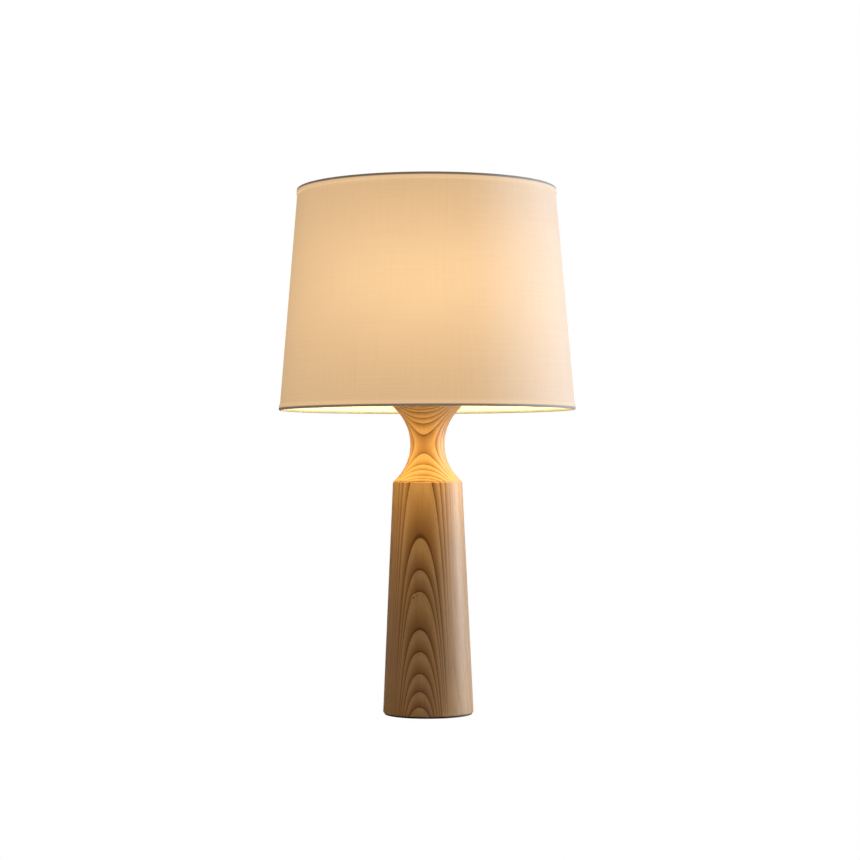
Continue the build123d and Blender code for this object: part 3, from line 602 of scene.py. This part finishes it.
@dataclass(frozen=True)
class LitCloth:
    """Cream linen with the light of the bulb behind it painted on as a glow, and a weave that follows
    the piece's UV map.
    """

    name: str
    cream: Colour = (0.30, 0.34, 0.39)
    shadow: Colour = (0.275, 0.31, 0.35)
    glow: Colour = (0.73, 0.465, 0.228)
    even: float = 0.78
    direct: float = 0.25
    pitch: float = 0.0009
    strength: float = 1.0
    weave: float = 0.03
    thread: float = 0.12
    clouding: float = 0.04
    unlit: float = 1.0
    inner_glow: Colour | None = None
    # Out from the wall's middle: where the inner glow is full and where it ends
    inner_edge: tuple[float, float] = (-0.0011, 0.0003)

    def material(self) -> bpy.types.Material:
        """The cloth's threads, slubs and glow.

        Returns:
            The material.
        """
        nodes = Nodes(self.name)
        flat = nodes.add("ShaderNodeUVMap", uv_map="weave").outputs["UV"]
        turns = 2 * math.pi / self.pitch
        parts = nodes.add("ShaderNodeSeparateXYZ", nodes.stretch(flat, (turns, turns, 0.0)))
        warp = nodes.maths("SINE", parts.outputs["X"])
        weft = nodes.maths("SINE", parts.outputs["Y"])
        # Over and under: each thread hides the other where it passes above
        weave = nodes.maths("MULTIPLY", warp, weft)
        upright = nodes.noise((620.0, 11.0, 0.0), detail=2.0, roughness=0.6, place=flat)
        across = nodes.noise((9.0, 560.0, 0.0), detail=2.0, roughness=0.6, place=flat)
        slubs = nodes.maths("MULTIPLY", nodes.maths("ADD", upright, across), 0.5)
        clouds = nodes.noise((16.0, 16.0, 0.0), detail=1.0, place=flat)
        thin = nodes.maths("MULTIPLY_ADD", weave, self.weave, 1.0)
        thin = nodes.vary(slubs, self.thread, thin)
        thin = nodes.vary(clouds, self.clouding, thin)
        lit = nodes.maths("MULTIPLY", bulb_glow(nodes, self.even, self.direct), thin)
        # Painted shade: only the unlit share of the painted glow comes through where the cloth is rolled
        # round a ring
        level = nodes.level()
        low = nodes.span(level, *LOWER_ROLL, self.unlit, 1.0)
        high = nodes.span(level, *UPPER_ROLL, 1.0, self.unlit)
        lit = nodes.maths("MULTIPLY", lit, nodes.maths("MULTIPLY", low, high))
        glow = self.glow
        if self.inner_glow:
            # Painted light: the flap inside the wall, which the bulb lights straight, glows in its own
            # colour
            wall = nodes.maths("MULTIPLY_ADD", level, *WALL_LINE)
            out = nodes.maths("SUBTRACT", nodes.planar_length(nodes.place), wall)
            inside = nodes.span(out, *self.inner_edge, 1.0, 0.0)
            glow = nodes.mix(inside, self.glow, self.inner_glow)
        base = nodes.mix(nodes.span(slubs, 0.40, 0.62), self.shadow, self.cream)
        height = nodes.maths("MULTIPLY_ADD", weave, 0.3, slubs)
        return nodes.surface(
            Base_Color=base,
            Roughness=0.88,
            Specular_IOR_Level=0.25,
            Sheen_Weight=0.25,
            Sheen_Roughness=0.5,
            Emission_Color=nodes.scaled(glow, lit),
            Emission_Strength=self.strength,
            Normal=nodes.bump(height, 0.00012, 0.6),
        )


@dataclass(frozen=True)
class LitLiner:
    """White styrene that lines the shade: the bulb's lamp lights it, and on top it has a painted glow,
    which itself sheds light; the glow is warmest between the levels edge and upper.
    """

    white: Colour = (0.86, 0.84, 0.79)
    glow: Colour = WARM_LIGHT
    edge_glow: Colour = (1.0, 0.66, 0.22)
    edge: tuple[float, float] = (0.374, 0.398)
    upper: tuple[float, float] = (0.42, 0.52)
    even: float = 0.70
    direct: float = 0.30
    strength: float = 2.4

    def material(self) -> bpy.types.Material:
        """The liner's matte sheet and its glow.

        Returns:
            The material.
        """
        nodes = Nodes("white styrene")
        haze = nodes.noise((70, 70, 70), detail=2.0)
        grain = nodes.noise((1400, 1400, 1400), detail=1.0)
        dull = tuple(part * 0.93 for part in self.white)
        lit = nodes.vary(haze, 0.06, 1.0)
        lit = nodes.maths("MULTIPLY", bulb_glow(nodes, self.even, self.direct), lit)
        level = nodes.level()
        glow = nodes.mix(nodes.span(level, *self.edge), self.edge_glow, self.glow)
        glow = nodes.mix(nodes.span(level, *self.upper), glow, self.edge_glow)
        return nodes.surface(
            Base_Color=nodes.mix(nodes.span(haze, 0.3, 0.7), self.white, dull),
            Roughness=nodes.maths("MULTIPLY_ADD", grain, 0.12, 0.50),
            Specular_IOR_Level=0.35,
            Emission_Color=nodes.scaled(glow, lit),
            Emission_Strength=self.strength,
            Normal=nodes.bump(grain, 0.00003, 0.4),
        )


class Glass(Enum):
    """The bulb's glasses: colour, roughness, see-through share, glow and its strength."""

    # Darker than real frosted glass, so that the globe stands out from the white walls
    FROSTED = ("frosted glass", (0.60, 0.54, 0.45), 0.55, 0.25, (1.0, 0.74, 0.42), 0.45)
    CLEAR = ("clear glass", (0.94, 0.97, 0.96), 0.05, 0.85, (1.0, 0.74, 0.42), 0.6)
    TUNGSTEN = ("tungsten wire", (0.30, 0.28, 0.26), 0.45, 0.0, (1.0, 0.62, 0.24), 30.0)


@dataclass(frozen=True)
class GlassFinish:
    """A glowing part of the bulb, with an uneven surface."""

    glass: Glass

    def material(self) -> bpy.types.Material:
        """The glass's body, frosting and glow.

        Returns:
            The material.
        """
        name, colour, rough, clear, glow, strength = self.glass.value
        nodes = Nodes(name)
        frost = nodes.noise((900, 900, 900), detail=2.0)
        wave = nodes.noise((55, 55, 55), detail=1.0)
        lit = nodes.maths("MULTIPLY_ADD", wave, 0.30, 0.85)
        material = nodes.surface(
            Base_Color=colour,
            Roughness=nodes.maths("MULTIPLY_ADD", frost, 0.06, rough - 0.03),
            IOR=1.47,
            Transmission_Weight=clear,
            Emission_Color=nodes.scaled(glow, lit),
            Emission_Strength=strength,
            Normal=nodes.bump(frost, 0.00002, 0.4),
        )
        # The lamp inside lights the room; the glass only shows that it is lit
        material.cycles.emission_sampling = "NONE"
        return material


# ---------------------------------------------------------------- modelling


def clear_selection() -> None:
    """Leave nothing selected, so that an operator acts on the new piece only."""
    if bpy.context.object and bpy.context.object.mode != "OBJECT":
        bpy.ops.object.mode_set(mode="OBJECT")
    bpy.ops.object.select_all(action="DESELECT")


def named(name: str) -> bpy.types.Object:
    """Name the piece that an operator has just added.

    Args:
        name: The piece's name.

    Returns:
        The piece.
    """
    piece = bpy.context.object
    piece.name = piece.data.name = name
    return piece


def on_whole(operator: Callable[..., set], **settings: object) -> None:
    """Run an operator in edit mode on all of the active piece.

    Args:
        operator: The operator.
        settings: Its settings.
    """
    bpy.ops.object.mode_set(mode="EDIT")
    bpy.ops.mesh.select_all(action="SELECT")
    operator(**settings)
    bpy.ops.object.mode_set(mode="OBJECT")


def pick_faces(piece: bpy.types.Object, wanted: Callable[..., bool]) -> None:
    """Select the faces that a test accepts, and nothing else.

    Args:
        piece: The piece, in object mode.
        wanted: Takes a polygon and says whether it is wanted.
    """
    mesh = piece.data
    mesh.vertices.foreach_set("select", [False] * len(mesh.vertices))
    mesh.edges.foreach_set("select", [False] * len(mesh.edges))
    mesh.polygons.foreach_set("select", [bool(wanted(face)) for face in mesh.polygons])


def delete_faces(piece: bpy.types.Object, wanted: Callable[..., bool]) -> None:
    """Delete the faces that a test accepts.

    Args:
        piece: The active piece, in object mode.
        wanted: Takes a polygon and says whether it goes.
    """
    pick_faces(piece, wanted)
    bpy.ops.object.mode_set(mode="EDIT")
    bpy.ops.mesh.select_mode(type="FACE")
    bpy.ops.mesh.delete(type="FACE")
    bpy.ops.object.mode_set(mode="OBJECT")


def pick_corners(piece: bpy.types.Object, wanted: Callable[..., bool]) -> None:
    """Select the vertices that a test accepts, with the edges and faces between them.

    Args:
        piece: The piece, in object mode.
        wanted: Takes a vertex's place and says whether it is wanted.
    """
    bpy.ops.object.mode_set(mode="EDIT")
    bpy.ops.mesh.select_mode(type="VERT")
    bpy.ops.mesh.select_all(action="DESELECT")
    bpy.ops.object.mode_set(mode="OBJECT")
    mesh = piece.data
    mesh.vertices.foreach_set("select", [bool(wanted(corner.co)) for corner in mesh.vertices])
    bpy.ops.object.mode_set(mode="EDIT")


def settle(piece: bpy.types.Object, smooth: float = 40.0) -> bpy.types.Object:
    """Put a piece's place into its mesh and shade it smooth up to an angle.

    Args:
        piece: The piece.
        smooth: The sharpest angle that still looks smooth, in degrees.

    Returns:
        The piece.
    """
    clear_selection()
    piece.select_set(True)
    bpy.context.view_layer.objects.active = piece
    bpy.ops.object.transform_apply(location=True, rotation=True, scale=True)
    bpy.ops.object.shade_smooth_by_angle(angle=math.radians(smooth))
    piece.select_set(False)
    return piece


def apply_modifier(piece: bpy.types.Object, kind: str, **settings: object) -> None:
    """Give a piece a modifier and apply it.

    Args:
        piece: The piece.
        kind: The modifier's type.
        settings: Its settings.
    """
    modifier = piece.modifiers.new(kind.lower(), kind)
    for key, value in settings.items():
        setattr(modifier, key, value)
    bpy.context.view_layer.objects.active = piece
    bpy.ops.object.modifier_apply(modifier=modifier.name)


def thicken(piece: bpy.types.Object, thickness: float, offset: float) -> None:
    """Give a sheet its thickness: outwards where the offset is 1, half each way where it is 0."""
    settings = {"thickness": thickness, "offset": offset, "use_even_offset": True}
    apply_modifier(piece, "SOLIDIFY", **settings)


# ---------------------------------------------------------------- sub-assemblies


@dataclass
class SubAssembly:
    """Nodes of the frame that are built and dressed together."""

    frame: dict

    def coat(self, finish: bpy.types.Material, *names: str) -> None:
        """Give nodes of the frame their finish.

        Args:
            finish: The material.
            names: The nodes.
        """
        for name in names:
            mesh = self.frame["nodes"][name].data
            mesh.materials.clear()
            mesh.materials.append(finish)
            LOG.info("%s: %s", name, finish.name)


@dataclass
class Foot(SubAssembly):
    """The felt, the cover and what lies in the hollow foot of the column."""

    felt_radius: float = 0.0518
    felt_thickness: float = 0.002
    sides: int = 192
    edge: float = 0.0005
    insets: tuple[float, ...] = (0.0005, 0.0200, 0.0250)

    def build(self) -> bpy.types.Object:
        """Model the felt pad with a soft edge.

        Returns:
            The pad.
        """
        clear_selection()
        middle = (0.0, 0.0, self.felt_thickness / 2)
        bpy.ops.mesh.primitive_cylinder_add(
            vertices=self.sides, radius=self.felt_radius, depth=self.felt_thickness, location=middle
        )
        pad = named("felt_disc")
        on_whole(
            bpy.ops.mesh.bevel, offset=self.edge, segments=3, affect="EDGES", clamp_overlap=True
        )
        for inset in self.insets:
            pick_faces(pad, lambda face: abs(face.normal.z) > 0.99 and len(face.vertices) > 8)
            bpy.ops.object.mode_set(mode="EDIT")
            bpy.ops.mesh.inset(thickness=inset)
            bpy.ops.object.mode_set(mode="OBJECT")
        settle(pad)
        pad.data.materials.append(Felt().material())
        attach(pad, "lamp")
        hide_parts("felt_pad")
        LOG.info("felt_disc: built")
        return pad

    def dress(self, zinc: bpy.types.Material) -> None:
        """Give the foot's rigid parts their finishes.

        Args:
            zinc: The zinc-plated steel.
        """
        self.coat(MouldFinish(Mould.FIBRE).material(), "base_cover")
        self.coat(MetalFinish(Metal.IRON).material(), "ballast_weight")
        self.coat(MouldFinish(Mould.NYLON).material(), "cord_bushing")
        self.coat(zinc, "base_cover_screws", "lower_washer", "lower_nut", "lamp_pipe", "upper_nut")


@dataclass
class Woodwork(SubAssembly):
    """The turned column, the neck and the finial's ball."""

    def dress(self) -> None:
        """Give the wooden pieces their grain; the finial's runs on smaller rings."""
        self.coat(TurnedAsh(taper=COLUMN_LINE).material(), "column")
        self.coat(TurnedAsh(name="turned ash, neck").material(), "neck")
        small = TurnedAsh(
            name="turned ash, finial",
            pith_behind=0.060,
            turn=math.radians(-35.0),
            inner_step=0.0019,
            bend_depth=0.0,
            knots=(),
            cathedral=(0.006, 0.010),
        )
        self.coat(small.material(), "finial")


@dataclass
class Brasswork(SubAssembly):
    """The cap, saddle, harp, socket and switch above the neck."""

    def dress(self, zinc: bpy.types.Material) -> None:
        """Give the metal and moulded parts their finishes.

        Args:
            zinc: The zinc-plated steel.
        """
        brass = MetalFinish(Metal.BRASS).material()
        self.coat(
            brass,
            "neck_cap", "harp_saddle", "harp", "harp_sleeve_left", "harp_sleeve_right",
            "harp_stud", "socket_cap", "terminal_screws", "socket_shell", "screw_shell",
            "center_contact", "switch_shaft", "spider", "finial_insert",
        )
        self.coat(MouldFinish(Mould.PHENOLIC).material(), "socket_body", "switch_knob")
        self.coat(MouldFinish(Mould.CARD).material(), "socket_liner")
        self.coat(zinc, "socket_set_screw")


@dataclass
class Bulb(SubAssembly):
    """The frosted bulb and the lamp that lights the room from inside it."""

    radius: float = 0.028
    power: float = 1.7

    def build(self) -> bpy.types.Object:
        """Put a warm light in the middle of the globe.

        Returns:
            The light.
        """
        data = bpy.data.lights.new("bulb light", "POINT")
        data.energy = self.power
        data.color = WARM_LIGHT
        data.shadow_soft_size = self.radius
        light = bpy.data.objects.new("bulb light", data)
        light.location = BULB_MIDDLE
        bpy.context.scene.collection.objects.link(light)
        light.visible_camera = False
        light.visible_transmission = False
        light.parent = self.frame["bodies"]["bulb"]
        LOG.info("bulb light: %.1f W", self.power)
        return light

    def dress(self) -> None:
        """Give the bulb's parts their finishes; its glass and wires let the light out."""
        self.coat(MetalFinish(Metal.SOLDER).material(), "bulb_contact")
        self.coat(MetalFinish(Metal.ALUMINIUM).material(), "bulb_cap")
        self.coat(MouldFinish(Mould.VITRITE).material(), "bulb_insulator")
        self.coat(GlassFinish(Glass.FROSTED).material(), "bulb_globe")
        self.coat(GlassFinish(Glass.CLEAR).material(), "bulb_stem")
        self.coat(GlassFinish(Glass.TUNGSTEN).material(), "bulb_filament")
        for name in ("bulb_globe", "bulb_stem", "bulb_filament"):
            self.frame["nodes"][name].visible_shadow = False


@dataclass
class Rim:
    """One rolled hem of the shade: the middle of its ring and the lean of the wall from it."""

    name: str
    ring_radius: float
    ring_level: float
    lean: float
    upward: float
    openings: tuple[float, ...] = ()


@dataclass
class Shade(SubAssembly):
    """The drum shade: linen on a white liner, its lapped seam and its two rolled hems."""

    bottom_radius: float = 0.1733
    bottom_level: float = 0.3598
    top_radius: float = 0.1513
    top_level: float = 0.6170
    cloth_out: float = 0.00020
    cloth_thickness: float = 0.0005
    panel_edge: float = 0.00115
    segments: int = 360
    courses: int = 20
    seam_width: float = 0.011
    seam_inset: float = 0.0004
    seam_out: float = 0.00012
    seam_fold: float = 0.00012
    seam_share: float = 0.8
    roll: float = 0.0017
    tape: float = 0.0004
    tape_edge: float = 0.0001
    band: float = 0.0050
    flap: float = 0.0050
    hem_segments: int = 24
    hem_steps: int = 4
    # Shares of the tape's roll: where it opens above the ring's middle, and the depth of its edge
    open_share: float = 0.10
    edge_share: float = 0.05
    drop_radius: float = 0.0019
    drop_inset: float = 0.0021
    arms: tuple[float, ...] = (90.0, 210.0, 330.0)

    @property
    def rise(self) -> float:
        """The height between the rings."""
        return self.top_level - self.bottom_level

    @property
    def slope(self) -> float:
        """The length of the wall between the rings."""
        return math.hypot(self.rise, self.bottom_radius - self.top_radius)

    @property
    def tube(self) -> float:
        """The radius of the middle of the rolled tape."""
        return self.roll - self.tape / 2

    def wall_radius(self, level: float) -> float:
        """The radius of the wall's middle at a level."""
        share = (level - self.bottom_level) / self.rise
        return self.bottom_radius + (self.top_radius - self.bottom_radius) * share

    def map_weave(self, piece: bpy.types.Object) -> None:
        """Lay the weave on a piece: round the shade and up its wall, in metres.

        Args:
            piece: The piece, in object mode.
        """
        mesh = piece.data
        layer = mesh.uv_layers.get("weave") or mesh.uv_layers.new(name="weave")
        stretch = (self.bottom_radius + self.top_radius) / 2
        for face in mesh.polygons:
            angles = [
                math.atan2(mesh.vertices[v].co.x, -mesh.vertices[v].co.y) for v in face.vertices
            ]
            # A face across the back keeps its corners on one side of the cut
            if max(angles) - min(angles) > math.pi:
                angles = [angle + 2 * math.pi if angle < 0 else angle for angle in angles]
            for loop, v, angle in zip(face.loop_indices, face.vertices, angles):
                level = mesh.vertices[v].co.z * self.slope / self.rise
                layer.data[loop].uv = (angle * stretch, level)
        layer.active_render = True
        mesh.uv_layers.active = layer

    def make_wall(self, name: str, inset: float, outside: float) -> bpy.types.Object:
        """Add an open cone that follows the wall, as the active piece.

        Args:
            name: The piece's name.
            inset: How far its ends stay from the levels of the rings.
            outside: How far it stands out from the wall's middle.

        Returns:
            The cone.
        """
        low = self.bottom_level + inset
        high = self.top_level - inset
        clear_selection()
        bpy.ops.mesh.primitive_cone_add(
            vertices=self.segments,
            radius1=self.wall_radius(low) + outside,
            radius2=self.wall_radius(high) + outside,
            depth=high - low,
            end_fill_type="NOTHING",
            location=(0.0, 0.0, (low + high) / 2),
        )
        piece = settle(named(name))
        bpy.context.view_layer.objects.active = piece
        return piece

    def finish_sheet(self, piece: bpy.types.Object) -> bpy.types.Object:
        """Shade a sheet smooth and lay the weave on it.

        Args:
            piece: The sheet, with its thickness.

        Returns:
            The sheet.
        """
        settle(piece, 60.0)
        self.map_weave(piece)
        return piece

    def make_cloth(self) -> bpy.types.Object:
        """Model the linen: one cone of cloth, cut into courses and given its thickness.

        Returns:
            The cloth.
        """
        cloth = self.make_wall("shade_linen", self.panel_edge, self.cloth_out)
        low = self.bottom_level + self.panel_edge
        high = self.top_level - self.panel_edge
        for course in range(1, self.courses):
            level = low + (high - low) * course / self.courses
            on_whole(bpy.ops.mesh.bisect, plane_co=(0.0, 0.0, level), plane_no=(0.0, 0.0, 1.0))
        thicken(cloth, self.cloth_thickness, 1.0)
        return self.finish_sheet(cloth)

    def make_seam(self) -> bpy.types.Object:
        """Model the lap at the back, where one end of the linen is folded over the other.

        Returns:
            The lap.
        """
        outside = self.cloth_out + self.cloth_thickness + self.seam_out
        lap = self.make_wall("shade_seam", self.panel_edge + self.seam_inset, outside)
        half = self.seam_width / 2
        for place, away in (
            ((half, 0.0, 0.0), (1.0, 0.0, 0.0)),
            ((-half, 0.0, 0.0), (-1.0, 0.0, 0.0)),
            ((0.0, 0.0, 0.0), (0.0, -1.0, 0.0)),
        ):
            on_whole(bpy.ops.mesh.bisect, plane_co=place, plane_no=away, clear_outer=True)
        thicken(lap, self.cloth_thickness * self.seam_share, 1.0)
        apply_modifier(lap, "BEVEL", width=self.seam_fold, segments=2)
        return self.finish_sheet(lap)

    def make_hem(self, rim: Rim) -> bpy.types.Object:
        """Model a hem: tape rolled round the ring, with a band outside and a flap inside.

        Args:
            rim: Which hem.

        Returns:
            The tape.
        """
        clear_selection()
        bpy.ops.mesh.primitive_torus_add(
            major_radius=rim.ring_radius,
            minor_radius=self.tube,
            major_segments=self.segments,
            minor_segments=self.hem_segments,
            location=(0.0, 0.0, rim.ring_level),
        )
        hem = named(rim.name)
        settle(hem)
        bpy.context.view_layer.objects.active = hem
        # The tape stays open towards the wall, and its two edges run on along it
        opening = self.tube * self.open_share
        delete_faces(hem, lambda face: (face.center.z - rim.ring_level) * rim.upward > opening)
        for outside, length in ((True, self.band), (False, self.flap)):
            for _ in range(self.hem_steps):
                self.lengthen(hem, rim, outside, length / self.hem_steps)
        self.open_hem(hem, rim)
        on_whole(bpy.ops.mesh.normals_make_consistent, inside=False)
        thicken(hem, self.tape, 0.0)
        apply_modifier(hem, "BEVEL", width=self.tape_edge, segments=2)
        return self.finish_sheet(hem)

    def lengthen(self, hem: bpy.types.Object, rim: Rim, outside: bool, step: float) -> None:
        """Run one edge of the tape on along the wall.

        Args:
            hem: The tape, before it has its thickness.
            rim: Which hem.
            outside: Whether it is the edge of the band or that of the flap inside.
            step: How far.
        """

        def beyond(place: Vector) -> float:
            """How far a place is past the ring, towards the wall."""
            return (place.z - rim.ring_level) * rim.upward

        def beside(place: Vector) -> bool:
            """Whether a place is on the edge's side of the ring."""
            return (place.xy.length > rim.ring_radius) == outside

        edge = max(beyond(corner.co) for corner in hem.data.vertices if beside(corner.co))
        near = self.tube * self.edge_share
        pick_corners(hem, lambda place: beside(place) and beyond(place) > edge - near)
        radius = max(corner.co.xy.length for corner in hem.data.vertices if corner.select)
        grow = 1.0 + rim.lean * step / radius
        bpy.ops.mesh.extrude_edges_move(
            TRANSFORM_OT_translate={"value": (0.0, 0.0, rim.upward * step)}
        )
        bpy.ops.transform.resize(
            value=(grow, grow, 1.0), center_override=(0.0, 0.0, rim.ring_level)
        )
        bpy.ops.object.mode_set(mode="OBJECT")

    def open_hem(self, hem: bpy.types.Object, rim: Rim) -> None:
        """Cut the openings through which the spider's arms reach the ring.

        Args:
            hem: The tape, before it has its thickness.
            rim: Which hem.
        """
        for angle in rim.openings:
            arm = Vector((math.cos(math.radians(angle)), math.sin(math.radians(angle)), 0.0))
            delete_faces(
                hem,
                lambda face: face.center.xy.length < rim.ring_radius
                and face.center.dot(arm) > 0.0
                and abs(face.center.cross(arm).z) < rim.ring_radius * math.tau / self.segments,
            )

    def make_solder(self) -> list[bpy.types.Object]:
        """Model the drop of solder between an arm of the spider and the ring, and copy it.

        Returns:
            One drop for each arm.
        """
        clear_selection()
        reach = self.top_radius - self.drop_inset
        middle = (reach, 0.0, self.top_level)
        bpy.ops.mesh.primitive_uv_sphere_add(
            segments=20, ring_count=12, radius=self.drop_radius, location=middle
        )
        drop = named(f"spider_solder_{len(self.arms)}")
        settle(drop)
        bpy.context.view_layer.objects.active = drop
        # The drop runs down the arm and thins out
        for depth, grow in ((0.0004, 1.12), (-0.0008, 0.86), (-0.0013, 0.72)):
            pick_corners(drop, lambda place: place.z < self.top_level + depth)
            bpy.ops.transform.translate(value=(0.00015, 0.0, -0.0005))
            bpy.ops.transform.resize(value=(grow, grow, 1.0), center_override=(reach, 0.0, 0.0))
            bpy.ops.object.mode_set(mode="OBJECT")
        drops = []
        for number, angle in enumerate(self.arms, start=1):
            copy = drop if number == len(self.arms) else drop.copy()
            if copy is not drop:
                copy.data = drop.data.copy()
                bpy.context.scene.collection.objects.link(copy)
            copy.name = copy.data.name = f"spider_solder_{number}"
            copy.rotation_euler = (0.0, 0.0, math.radians(angle))
            drops.append(settle(copy, 80.0))
        return drops

    def build(self) -> None:
        lean = (self.bottom_radius - self.top_radius) / self.rise
        cloth = self.make_cloth()
        seam = self.make_seam()
        upper = Rim("top_hem", self.top_radius, self.top_level, lean, -1.0, self.arms)
        lower = Rim("bottom_hem", self.bottom_radius, self.bottom_level, -lean, 1.0)
        top = self.make_hem(upper)
        bottom = self.make_hem(lower)
        linen = LitCloth("cream linen").material()
        # The hem tape's painted glow: a little brighter than the linen's, with painted shade where it is
        # rolled round a ring and a paler painted glow on its flap inside
        tape = LitCloth(
            "cream hem tape",
            glow=(0.80, 0.52, 0.27),
            pitch=0.0007,
            unlit=0.18,
            inner_glow=(1.0, 0.92, 0.70),
        ).material()
        for piece, node, slot, finish in (
            (cloth, "shade_fabric", "cream_linen", linen),
            (seam, None, "cream_linen", linen),
            (top, "shade_top_trim", "cream_tape", tape),
            (bottom, "shade_bottom_trim", "cream_tape", tape),
        ):
            piece.data.materials.clear()
            piece.data.materials.append(finish)
            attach(piece, "shade")
            if node:
                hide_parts(node)
            LOG.info("%s: %d faces", piece.name, len(piece.data.polygons))
        solder = MetalFinish(Metal.SOLDER).material()
        for drop in self.make_solder():
            drop.data.materials.append(solder)
            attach(drop, "shade")

    def dress(self, wire: bpy.types.Material) -> None:
        """Give the liner and the rings their finishes.

        Args:
            wire: The galvanised wire.
        """
        self.coat(LitLiner().material(), "shade_liner")
        self.coat(wire, "shade_top_ring", "shade_bottom_ring")


def show_camera(tree: bpy.types.NodeTree, lit: Socket, shown: Socket, target: Socket) -> None:
    """Give the camera's own rays one shader and all other rays another.

    Args:
        tree: The node tree.
        lit: What the other rays meet.
        shown: What the camera sees.
        target: The output's input.
    """
    seen = tree.nodes.new("ShaderNodeLightPath").outputs["Is Camera Ray"]
    mixed = tree.nodes.new("ShaderNodeMixShader")
    for source, entry in zip((seen, lit, shown), mixed.inputs):
        tree.links.new(source, entry)
    tree.links.new(mixed.outputs[0], target)


@dataclass
class Studio:
    """The camera at the photograph's angle, a pale floor, white walls and soft lights."""

    distance: float = 2.450
    height: float = 0.2923
    lens: float = 86.86
    shift: tuple[float, float] = (0.0029, 0.0419)
    roll: float = math.radians(0.2)
    sensor: float = 36.0
    sight: float = 200.0
    floor_size: float = 60.0
    # The floor is a little under the felt, so that their faces don't coincide
    floor_level: float = -0.0003
    ambient: float = 0.05
    aim: tuple[float, float, float] = (0.0, 0.0, 0.30)

    def camera(self) -> None:
        """Set up the level camera before the lamp."""
        data = bpy.data.cameras.new("camera")
        data.lens = self.lens
        data.sensor_width = self.sensor
        data.shift_x, data.shift_y = self.shift
        data.clip_end = self.sight
        camera = bpy.data.objects.new("camera", data)
        camera.location = (0.0, -self.distance, self.height)
        camera.rotation_euler = (math.pi / 2, self.roll, 0.0)
        bpy.context.scene.collection.objects.link(camera)
        bpy.context.scene.camera = camera

    def floor(self) -> None:
        """Lay the pale floor, which the camera sees as white as the walls."""
        clear_selection()
        place = (0.0, 0.0, self.floor_level)
        bpy.ops.mesh.primitive_plane_add(size=self.floor_size, location=place)
        plane = named("floor")
        nodes = Nodes("pale floor")
        paint = nodes.add("ShaderNodeBsdfDiffuse", (0.80, 0.80, 0.80)).outputs[0]
        light = nodes.add("ShaderNodeEmission").outputs[0]
        show_camera(nodes.tree, paint, light, nodes.output.inputs["Surface"])
        plane.data.materials.append(nodes.material)

    def walls(self) -> None:
        """Surround the scene with white for the camera and a dim even light for the lamp."""
        world = bpy.data.worlds.new("studio")
        bpy.context.scene.world = world
        world.use_nodes = True
        tree = world.node_tree
        tree.nodes.clear()
        dim = tree.nodes.new("ShaderNodeBackground")
        dim.inputs["Color"].default_value = (1.0, 0.97, 0.96, 1.0)
        dim.inputs["Strength"].default_value = self.ambient
        white = tree.nodes.new("ShaderNodeBackground")
        white.inputs["Color"].default_value = (1.0, 1.0, 1.0, 1.0)
        output = tree.nodes.new("ShaderNodeOutputWorld")
        show_camera(tree, dim.outputs[0], white.outputs[0], output.inputs["Surface"])

    def soft_light(
        self,
        name: str,
        place: Sequence[float],
        size: tuple[float, float],
        power: float,
        colour: Colour,
    ) -> None:
        """Hang a soft box that faces the lamp.

        Args:
            name: The light's name.
            place: Its middle.
            size: Its width and height.
            power: Its power in watts.
            colour: Its colour.
        """
        data = bpy.data.lights.new(name, "AREA")
        data.shape = "RECTANGLE"
        data.size, data.size_y = size
        data.energy = power
        data.color = colour
        light = bpy.data.objects.new(name, data)
        light.location = place
        towards = Vector(self.aim) - Vector(place)
        light.rotation_euler = towards.to_track_quat("-Z", "Y").to_euler()
        light.visible_camera = False
        bpy.context.scene.collection.objects.link(light)

    def lights(self) -> None:
        """Hang the strong soft box at the right, a little behind the lamp, and a weak one opposite."""
        self.soft_light("right soft box", (2.13, 0.53, 0.40), (0.7, 1.8), 73.0, (0.88, 0.95, 1.0))
        self.soft_light("left soft box", (-2.0, 0.4, 0.5), (0.7, 1.6), 2.0, (1.0, 0.98, 0.96))

    def build(self) -> None:
        """Set up the camera, the floor, the walls and the lights."""
        self.camera()
        self.floor()
        self.walls()
        self.lights()
        bpy.context.scene.view_settings.view_transform = "Standard"


def main() -> None:
    """Build and dress the lamp, sub-assembly by sub-assembly."""
    logging.basicConfig(level=logging.INFO, format="%(name)s: %(message)s")
    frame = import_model()
    zinc = MetalFinish(Metal.ZINC).material()
    wire = MetalFinish(Metal.WIRE).material()
    Studio().build()
    foot = Foot(frame)
    foot.build()
    foot.dress(zinc)
    Woodwork(frame).dress()
    Brasswork(frame).dress(zinc)
    bulb = Bulb(frame)
    bulb.build()
    bulb.dress()
    shade = Shade(frame)
    shade.build()
    shade.dress(wire)


if __name__ == "__main__":
    main()
